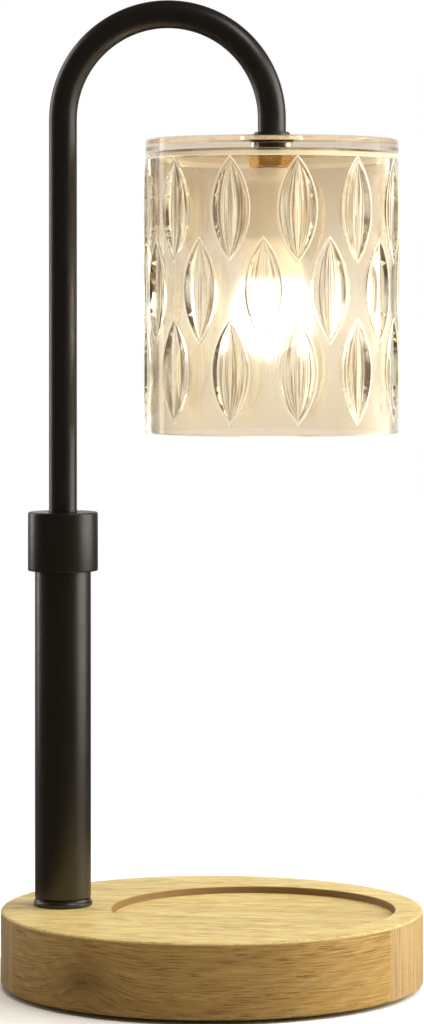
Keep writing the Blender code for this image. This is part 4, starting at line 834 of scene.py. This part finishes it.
def build_post():
    turned_piece("post_foot_finished", [
        (5.3, 27.8, 0.0), (10.5, 27.8, 0.2), (10.5, 28.9, 0.3), (10.0, 29.5, 0.3), (9.9, 30.2, 0.1),
        (8.6, 30.2, 0.0), (8.6, 40.2, 0.5), (5.3, 40.2, 0.4)],
        128, AT_POST, BLACK, "base", ["post_foot"], "black_powder_coat")
    turned_piece("post_tube_finished", [
        (8.8, 30.5, 0.2), (10.0, 30.5, 0.3), (10.0, 150.0, 0.3), (8.8, 150.0, 0.2)],
        128, AT_POST, BLACK, "base", ["post_tube"], "black_powder_coat")
    turned_piece("locking_collar_finished", [
        (10.3, 147.0, 0.3), (12.5, 147.0, 0.5), (12.5, 168.0, 0.7), (5.3, 168.0, 0.5),
        (5.3, 164.2, 0.2), (7.6, 161.9, 0.2), (9.3, 161.9, 0.2), (9.3, 152.6, 0.2),
        (10.3, 152.6, 0.2)], 160, AT_POST, BLACK, "collar_body", ["locking_collar"],
        "black_powder_coat")


def build_swan_neck():
    path = [Vector((POST_X, 0.0, z * MM)) for z in (98.5, 99.5, 200.0, 306.0)]
    steps = 96
    for i in range(steps + 1):
        angle = math.pi * (1 - i / steps)
        path.append(Vector((
            POST_X + ARCH_RADIUS + ARCH_RADIUS * math.cos(angle), 0.0,
            ARCH_Z + ARCH_RADIUS * math.sin(angle))))
    path += [Vector((SHADE_X, 0.0, z * MM)) for z in (306.0, 289.5, 288.5)]
    edges = [(i, i + 1) for i in range(len(path) - 1)]
    skin = grown(TUBE, {"Radius": 5.0 * MM, "Sides": 72, "Finish": BLACK}, path, edges)
    made = bpy.data.objects.new("arm_tube_blank", skin)
    bpy.context.scene.collection.objects.link(made)
    wall = made.modifiers.new("wall", "SOLIDIFY")
    wall.thickness = 1.0 * MM
    wall.offset = -1.0
    graph = bpy.context.evaluated_depsgraph_get()
    tube = bpy.data.meshes.new_from_object(made.evaluated_get(graph))
    bpy.data.objects.remove(made)
    piece("arm_tube_finished", tube, BLACK, "arm", ["arm_tube"], "black_powder_coat")


def build_slack_lead():
    """The spare lead in the post, a loose spiral at its rest length. On the real lamp it folds up as the
    swan neck is lowered.
    """
    lead = grown(SLACK, {
        "Low": 37.1 * MM, "High": 98.2 * MM, "Swing": 4.5 * MM, "Turns": 2.0, "Ramps": 4.0,
        "Radius": 2.5 * MM, "Points": 120, "Sides": 24, "Axis X": POST_X, "Finish": SHEATH})
    tidy(lead)
    made = piece("post_lead_finished", lead, SHEATH, "base", ["post_lead"], "lead_sheath")
    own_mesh(made)


# Shade

def cut_shares(along, height):
    """At a place on the flat wall: shares of depth, flute and bead, and the place across the cut.

    The last runs from 0 on the crest of the leaf to 1 at its outline and 2 outside its bead.
    """
    for centre, middle in CUT_ROWS:
        u, v = abs(along - centre), height - middle
        out = math.hypot(u + CUT_ARC_SET, v) - CUT_ARC
        if out > BEAD_WIDTH + 0.1 * MM:
            continue
        if out >= 1e-9 or abs(v) >= CUT_HALF_LENGTH:
            share = min(max(out / BEAD_WIDTH, 0.0), 1.0)
            return 0.0, 0.0, math.sin(math.pi * share) ** 0.7, 1.0 + share
        half = math.sqrt(max(CUT_ARC ** 2 - v * v, 0.0)) - CUT_ARC_SET
        across = min(u / max(half, 1e-9), 1.0)
        fade = (1 - (v / CUT_HALF_LENGTH) ** 2) ** 0.8
        fall = 0.03 + 0.25 * across + 0.72 * across ** 2
        return fade * fall, math.cos(math.tau * FLUTES * across) * (1 - across) * fade, 0.0, across
    return 0.0, 0.0, 0.0, 2.0


def cut_chains(centre, middle, turn):
    """Lines along one cut: even shares of its width inside, and its bead outside."""
    steps = 30
    reach = math.asin(CUT_HALF_LENGTH / CUT_ARC)
    for share in [0.0, 0.025] + [i / 24 for i in range(1, 25)]:
        run = []
        for i in range(steps + 1):
            v = CUT_ARC * math.sin(reach * (2 * i / steps - 1))
            u = math.sqrt(max(CUT_ARC ** 2 - v * v, 0.0)) - CUT_ARC_SET
            if i in (0, steps):
                u, v = 0.0, math.copysign(CUT_HALF_LENGTH, v)
            run.append((centre + turn * share * u, middle + v))
        yield run
    for out in (0.07, 0.16, 0.27, 0.4, 0.5, 0.6, 0.73, 0.84, 0.93, 1.0):
        arc = CUT_ARC + out * BEAD_WIDTH
        wide = math.acos(CUT_ARC_SET / arc)
        run = []
        for i in range(steps + 3):
            angle = wide * (2 * i / (steps + 2) - 1)
            u = 0.0 if i in (0, steps + 2) else max(arc * math.cos(angle) - CUT_ARC_SET, 0.0)
            run.append((centre + turn * u, middle + arc * math.sin(angle)))
        yield run


def flat_cut_wall(low, high, columns, rows):
    """Half of one repeat of the cuts, flat: points (along, height) and triangles."""
    points, edges = [], []

    def chain(run):
        first = len(points)
        points.extend(run)
        edges.extend((first + i, first + i + 1) for i in range(len(run) - 1))

    for centre, middle in CUT_ROWS:
        for run in cut_chains(centre, middle, 1 if centre == 0.0 else -1):
            chain(run)
    for i in range(columns + 1):
        for j in range(1, rows):
            along, height = SECTOR * i / columns, low + (high - low) * j / rows
            nearest = min(
                math.hypot(abs(along - centre) + CUT_ARC_SET, height - middle) - CUT_ARC
                for centre, middle in CUT_ROWS)
            if nearest > BEAD_WIDTH + 0.5 * MM:
                points.append((along, height))
    border = [(SECTOR * i / columns, low) for i in range(columns + 1)]
    border += [(SECTOR * (columns - i) / columns, high) for i in range(columns + 1)]
    chain(border + border[:1])
    placed, _, faces, _, _, _ = delaunay_2d_cdt([Vector(p) for p in points], edges, [], 0, 1e-8)
    return [(v.x, v.y) for v in placed], [list(face) for face in faces]


def build_shade():
    columns = 10
    low, high = SHADE_LOW + 0.9 * MM, SHADE_HIGH - 1.6 * MM
    flat, faces = flat_cut_wall(low, high, columns, 50)
    shares = [cut_shares(*point) for point in flat]
    wall = grown(CUT_WALL, {
        "Shade Radius": SHADE_RADIUS, "Cut Depth": CUT_DEPTH, "Flute Depth": FLUTE_DEPTH,
        "Bead Height": BEAD_HEIGHT, "Repeats": CUTS_ROUND, "Turn": CUT_TURN, "Axis X": SHADE_X,
        "Merge": MERGE, "Finish": GLASS,
    }, [(along, 0.0, height) for along, height in flat], (), faces, {
        name: [share[k] for share in shares]
        for k, name in enumerate(("cut", "flute", "bead", "across"))})

    bore = 40.5
    rest = open_mesh("plain_glass", turned(softened([
        (45.0, high / MM, 0.0), (45.0, 300.7, 1.3), (40.2, 300.7, 0.7), (37.0, 299.0, 0.8),
        (5.3, 299.0, 0.15), (5.3, 296.4, 0.15), (38.3, 296.4, 0.8), (39.3, 294.2, 0.4),
        (bore, 293.4, 0.2), (bore, 196.7, 0.8), (45.0, 196.7, 0.8), (45.0, low / MM, 0.0)]),
        2 * columns * CUTS_ROUND, AT_SHADE, CUT_TURN, closed=False))
    rest.attributes.new("across", "FLOAT", "POINT").data.foreach_set("value", [2.0] * len(rest.vertices))
    bm = bmesh.new()
    bm.from_mesh(wall)
    bm.from_mesh(rest)
    bm.to_mesh(wall)
    bm.free()
    tidy(wall)
    piece("shade_finished", wall, GLASS, "arm", ["shade"], "warm_cut_glass", math.radians(50))


def build_shade_fixings():
    for name, radius, low, high, round_off, finish, slot in (
            ("upper_gasket", 7.8, 299.3, 299.8, 0.15, SILICONE, "clear_silicone"),
            ("top_washer", 8.0, 300.1, 300.8, 0.2, BLACK, "black_powder_coat"),
            ("top_ferrule", 6.3, 301.1, 303.3, 0.5, BLACK, "black_powder_coat"),
            ("lower_gasket", 7.8, 295.8, 296.1, 0.1, SILICONE, "clear_silicone")):
        turned_piece(name + "_finished", [
            (5.3, low, 0.08), (radius, low, round_off), (radius, high, round_off), (5.3, high, 0.08)],
            96, AT_SHADE, finish, "arm", [name], slot)

    corner = 7.0 / math.cos(math.pi / 6)
    flats = [(
        SHADE_X + corner * MM * math.cos(math.tau * i / 6), corner * MM * math.sin(math.tau * i / 6))
        for i in range(6)]
    blank = turned(softened([
        (5.3, 291.7, 0.3), (7.4, 291.7, 0.1), (8.1, 292.4, 0.1), (8.1, 294.8, 0.1), (7.4, 295.5, 0.1),
        (5.3, 295.5, 0.3)]), 96, AT_SHADE)
    nut = carved(plain_mesh("shade_nut_blank", blank), [prism(flats, 291.0 * MM, 296.0 * MM)],
                 "INTERSECT")
    piece("shade_nut_finished", nut, BRASS, "arm", ["shade_nut"], "brass")


# Lampholder and bulb

def build_lampholder():
    blank = turned(softened([
        (8.0, 265.4, 0.3), (12.5, 265.4, 0.8), (12.5, 286.2, 0.9), (7.0, 287.4, 0.4),
        (7.0, 291.4, 0.5), (5.3, 291.4, 0.0), (5.3, 288.2, 0.0), (3.0, 288.2, 0.0), (3.0, 284.8, 0.0),
        (8.0, 284.8, 0.3)]), 120, AT_SHADE)
    holes = [
        turned(softened([(0, 281.9, 0), (1.5, 281.9, 0), (1.5, 293.0, 0), (0, 293.0, 0)]), 24,
               (SHADE_X, side * 10.3 * MM))
        for side in (-1, 1)]
    piece("lampholder_finished", carved(plain_mesh("lampholder_blank", blank), holes), PORCELAIN,
          "arm", ["lampholder"], "cream_porcelain")


# The rest keeps its CAD form

KEPT = (
    (STEEL, "zinc_steel", ("clamp_screw_1", "clamp_screw_2", "hollow_stud", "stud_washer", "stud_nut",
                           "threaded_neck", "guide_clip_1", "guide_clip_2")),
    (PLATE, "black_steel_plate", ("bottom_plate",)),
    (RUBBER, "black_rubber", ("cord_gland",)),
    (NYLON, "white_nylon", ("cord_clamp", "collet", "guide_bush")),
    (SHEATH, "lead_sheath", ("base_lead", "arm_lead")),
    (BRASS, "brass", ("terminal_screw_1", "terminal_screw_2", "screw_shell", "centre_contact")),
    (NICKEL, "nickel_cap", ("bulb_cap", "bulb_tip")),
    (BEAD, "black_glass", ("bulb_insulator",)),
    (BULB, "frosted_bulb_glass", ("bulb_glass", "filament_mount")),
    (TUNGSTEN, "tungsten", ("filament",)),
)


def keep_the_rest():
    for finish, slot, names in KEPT:
        for name in names:
            shown = nodes[name]
            shown.data.materials.clear()
            shown.data.materials.append(finish)


# Studio

def area_light(name, place, aim, size, power, colour=(1.0, 1.0, 1.0), glossy=True):
    lamp = bpy.data.lights.new(name, "AREA")
    lamp.shape = "RECTANGLE"
    lamp.size, lamp.size_y = size
    lamp.energy = power
    lamp.color = colour
    made = bpy.data.objects.new(name, lamp)
    bpy.context.scene.collection.objects.link(made)
    made.location = place
    made.rotation_euler = (Vector(aim) - Vector(place)).to_track_quat("-Z", "Y").to_euler()
    made.visible_glossy = glossy
    made.visible_transmission = False
    return made


def build_world():
    """A white backdrop behind the lamp and a dim warm room in front of it."""
    p = Paint("studio", world=True)
    toward = p.node("ShaderNodeTexCoord").outputs["Generated"]
    back = (-math.sin(CAMERA_TURN), math.cos(CAMERA_TURN), 0.0)
    behind = p.node("ShaderNodeVectorMath", {0: toward, 1: back},
                    operation="DOT_PRODUCT").outputs["Value"]
    path = p.node("ShaderNodeLightPath").outputs
    in_glass = p.sums("MINIMUM", path["Transmission Depth"], 1.0)
    in_glass = p.sums("MAXIMUM", path["Is Transmission Ray"],
                      p.sums("MULTIPLY", path["Is Glossy Ray"], in_glass))
    through = p.sums("MULTIPLY", in_glass, p.span(behind, 0.20, 0.65))
    mirrored = p.sums("MULTIPLY", path["Is Glossy Ray"], p.span(behind, 0.80, 0.99))
    seen = p.sums("MAXIMUM", path["Is Camera Ray"], p.sums("MAXIMUM", through, mirrored))
    white = p.node("ShaderNodeBackground", {"Color": (1.0, 1.0, 1.0), "Strength": 1.0}).outputs[0]
    room = p.node("ShaderNodeBackground", {
        "Color": ROOM,
        "Strength": p.span(path["Is Glossy Ray"], 0.0, 1.0, 0.20, ROOM_GLINT)}).outputs[0]
    bpy.context.scene.world = p.done(
        p.node("ShaderNodeMixShader", {0: seen, 1: room, 2: white}).outputs[0])


def build_floor():
    """A pale floor that keeps the shadow, turns white away from the lamp and is clear from below."""
    mesh = open_mesh("floor", ([(-4, -4, 0), (4, -4, 0), (4, 4, 0), (-4, 4, 0)], [[0, 1, 2, 3]]))
    floor = bpy.data.objects.new("floor", mesh)
    bpy.context.scene.collection.objects.link(floor)
    p = Paint("pale_floor")
    path = p.node("ShaderNodeLightPath").outputs
    lit = p.node("ShaderNodeBsdfDiffuse", {
        "Color": p.mix(path["Is Diffuse Ray"], (0.94, 0.94, 0.94), (0.50, 0.48, 0.45))}).outputs[0]
    glow = p.node("ShaderNodeEmission", {"Color": (1.0, 1.0, 1.0), "Strength": 1.0}).outputs[0]
    far = p.node("ShaderNodeVectorMath", {0: p.place()}, operation="LENGTH").outputs["Value"]
    backdrop = p.span(far, 0.14, 0.50)
    seen = p.sums("MAXIMUM", path["Is Camera Ray"], path["Is Transmission Ray"])
    share = p.sums("MULTIPLY", backdrop, seen)
    room = p.node("ShaderNodeEmission", {"Color": ROOM, "Strength": ROOM_GLINT}).outputs[0]
    mirrored = p.sums("MULTIPLY", path["Is Glossy Ray"],
                      p.sums("LESS_THAN", path["Transmission Depth"], 0.5))
    plain = p.node("ShaderNodeMixShader", {0: mirrored, 1: lit, 2: room}).outputs[0]
    top = p.node("ShaderNodeMixShader", {0: share, 1: plain, 2: glow}).outputs[0]
    under = p.node("ShaderNodeBsdfTransparent").outputs[0]
    below = p.node("ShaderNodeNewGeometry").outputs["Backfacing"]
    whole = p.node("ShaderNodeMixShader", {0: below, 1: top, 2: under}).outputs[0]
    mesh.materials.append(p.done(whole))


def build_lights():
    area_light("key", (1.10, 0.30, 0.65), (0, 0, 0.15), (0.55, 1.0), 17.5, (1.0, 0.97, 0.91), False)
    area_light("strip", (1.05, 0.08, 0.32), (0, 0, 0.20), (0.90, 1.2), 9.5, (1.0, 0.95, 0.84))
    area_light("top", (0.05, -0.05, 1.5), (0, 0, 0), (1.2, 1.2), 16.0, (1.0, 0.98, 0.92), False)
    area_light("arch", (0.65, -0.35, 1.2), (0, 0, 0.3), (0.40, 0.40), 2.5, (1.0, 0.97, 0.92))
    area_light("left", (-1.0, 0.45, 0.5), (0, 0, 0.2), (0.25, 1.0), 3.2, (1.0, 0.97, 0.93))


def build_camera():
    scene = bpy.context.scene
    lens = bpy.data.cameras.new("camera")
    lens.sensor_width = SENSOR
    lens.lens = FOCAL_PIXELS / PICTURE_HEIGHT * SENSOR
    lens.shift_y = -PICTURE_SHIFT / PICTURE_HEIGHT
    lens.clip_end = 20.0
    made = bpy.data.objects.new("camera", lens)
    scene.collection.objects.link(made)
    made.location = (
        CAMERA_AWAY * math.sin(CAMERA_TURN), -CAMERA_AWAY * math.cos(CAMERA_TURN), CAMERA_HEIGHT)
    made.rotation_euler = (math.pi / 2, 0.0, CAMERA_TURN)
    scene.camera = made
    scene.view_settings.view_transform = "Standard"


build_base()
build_post()
build_swan_neck()
build_slack_lead()
build_shade()
build_shade_fixings()
build_lampholder()
keep_the_rest()
build_world()
build_floor()
build_lights()
build_camera()
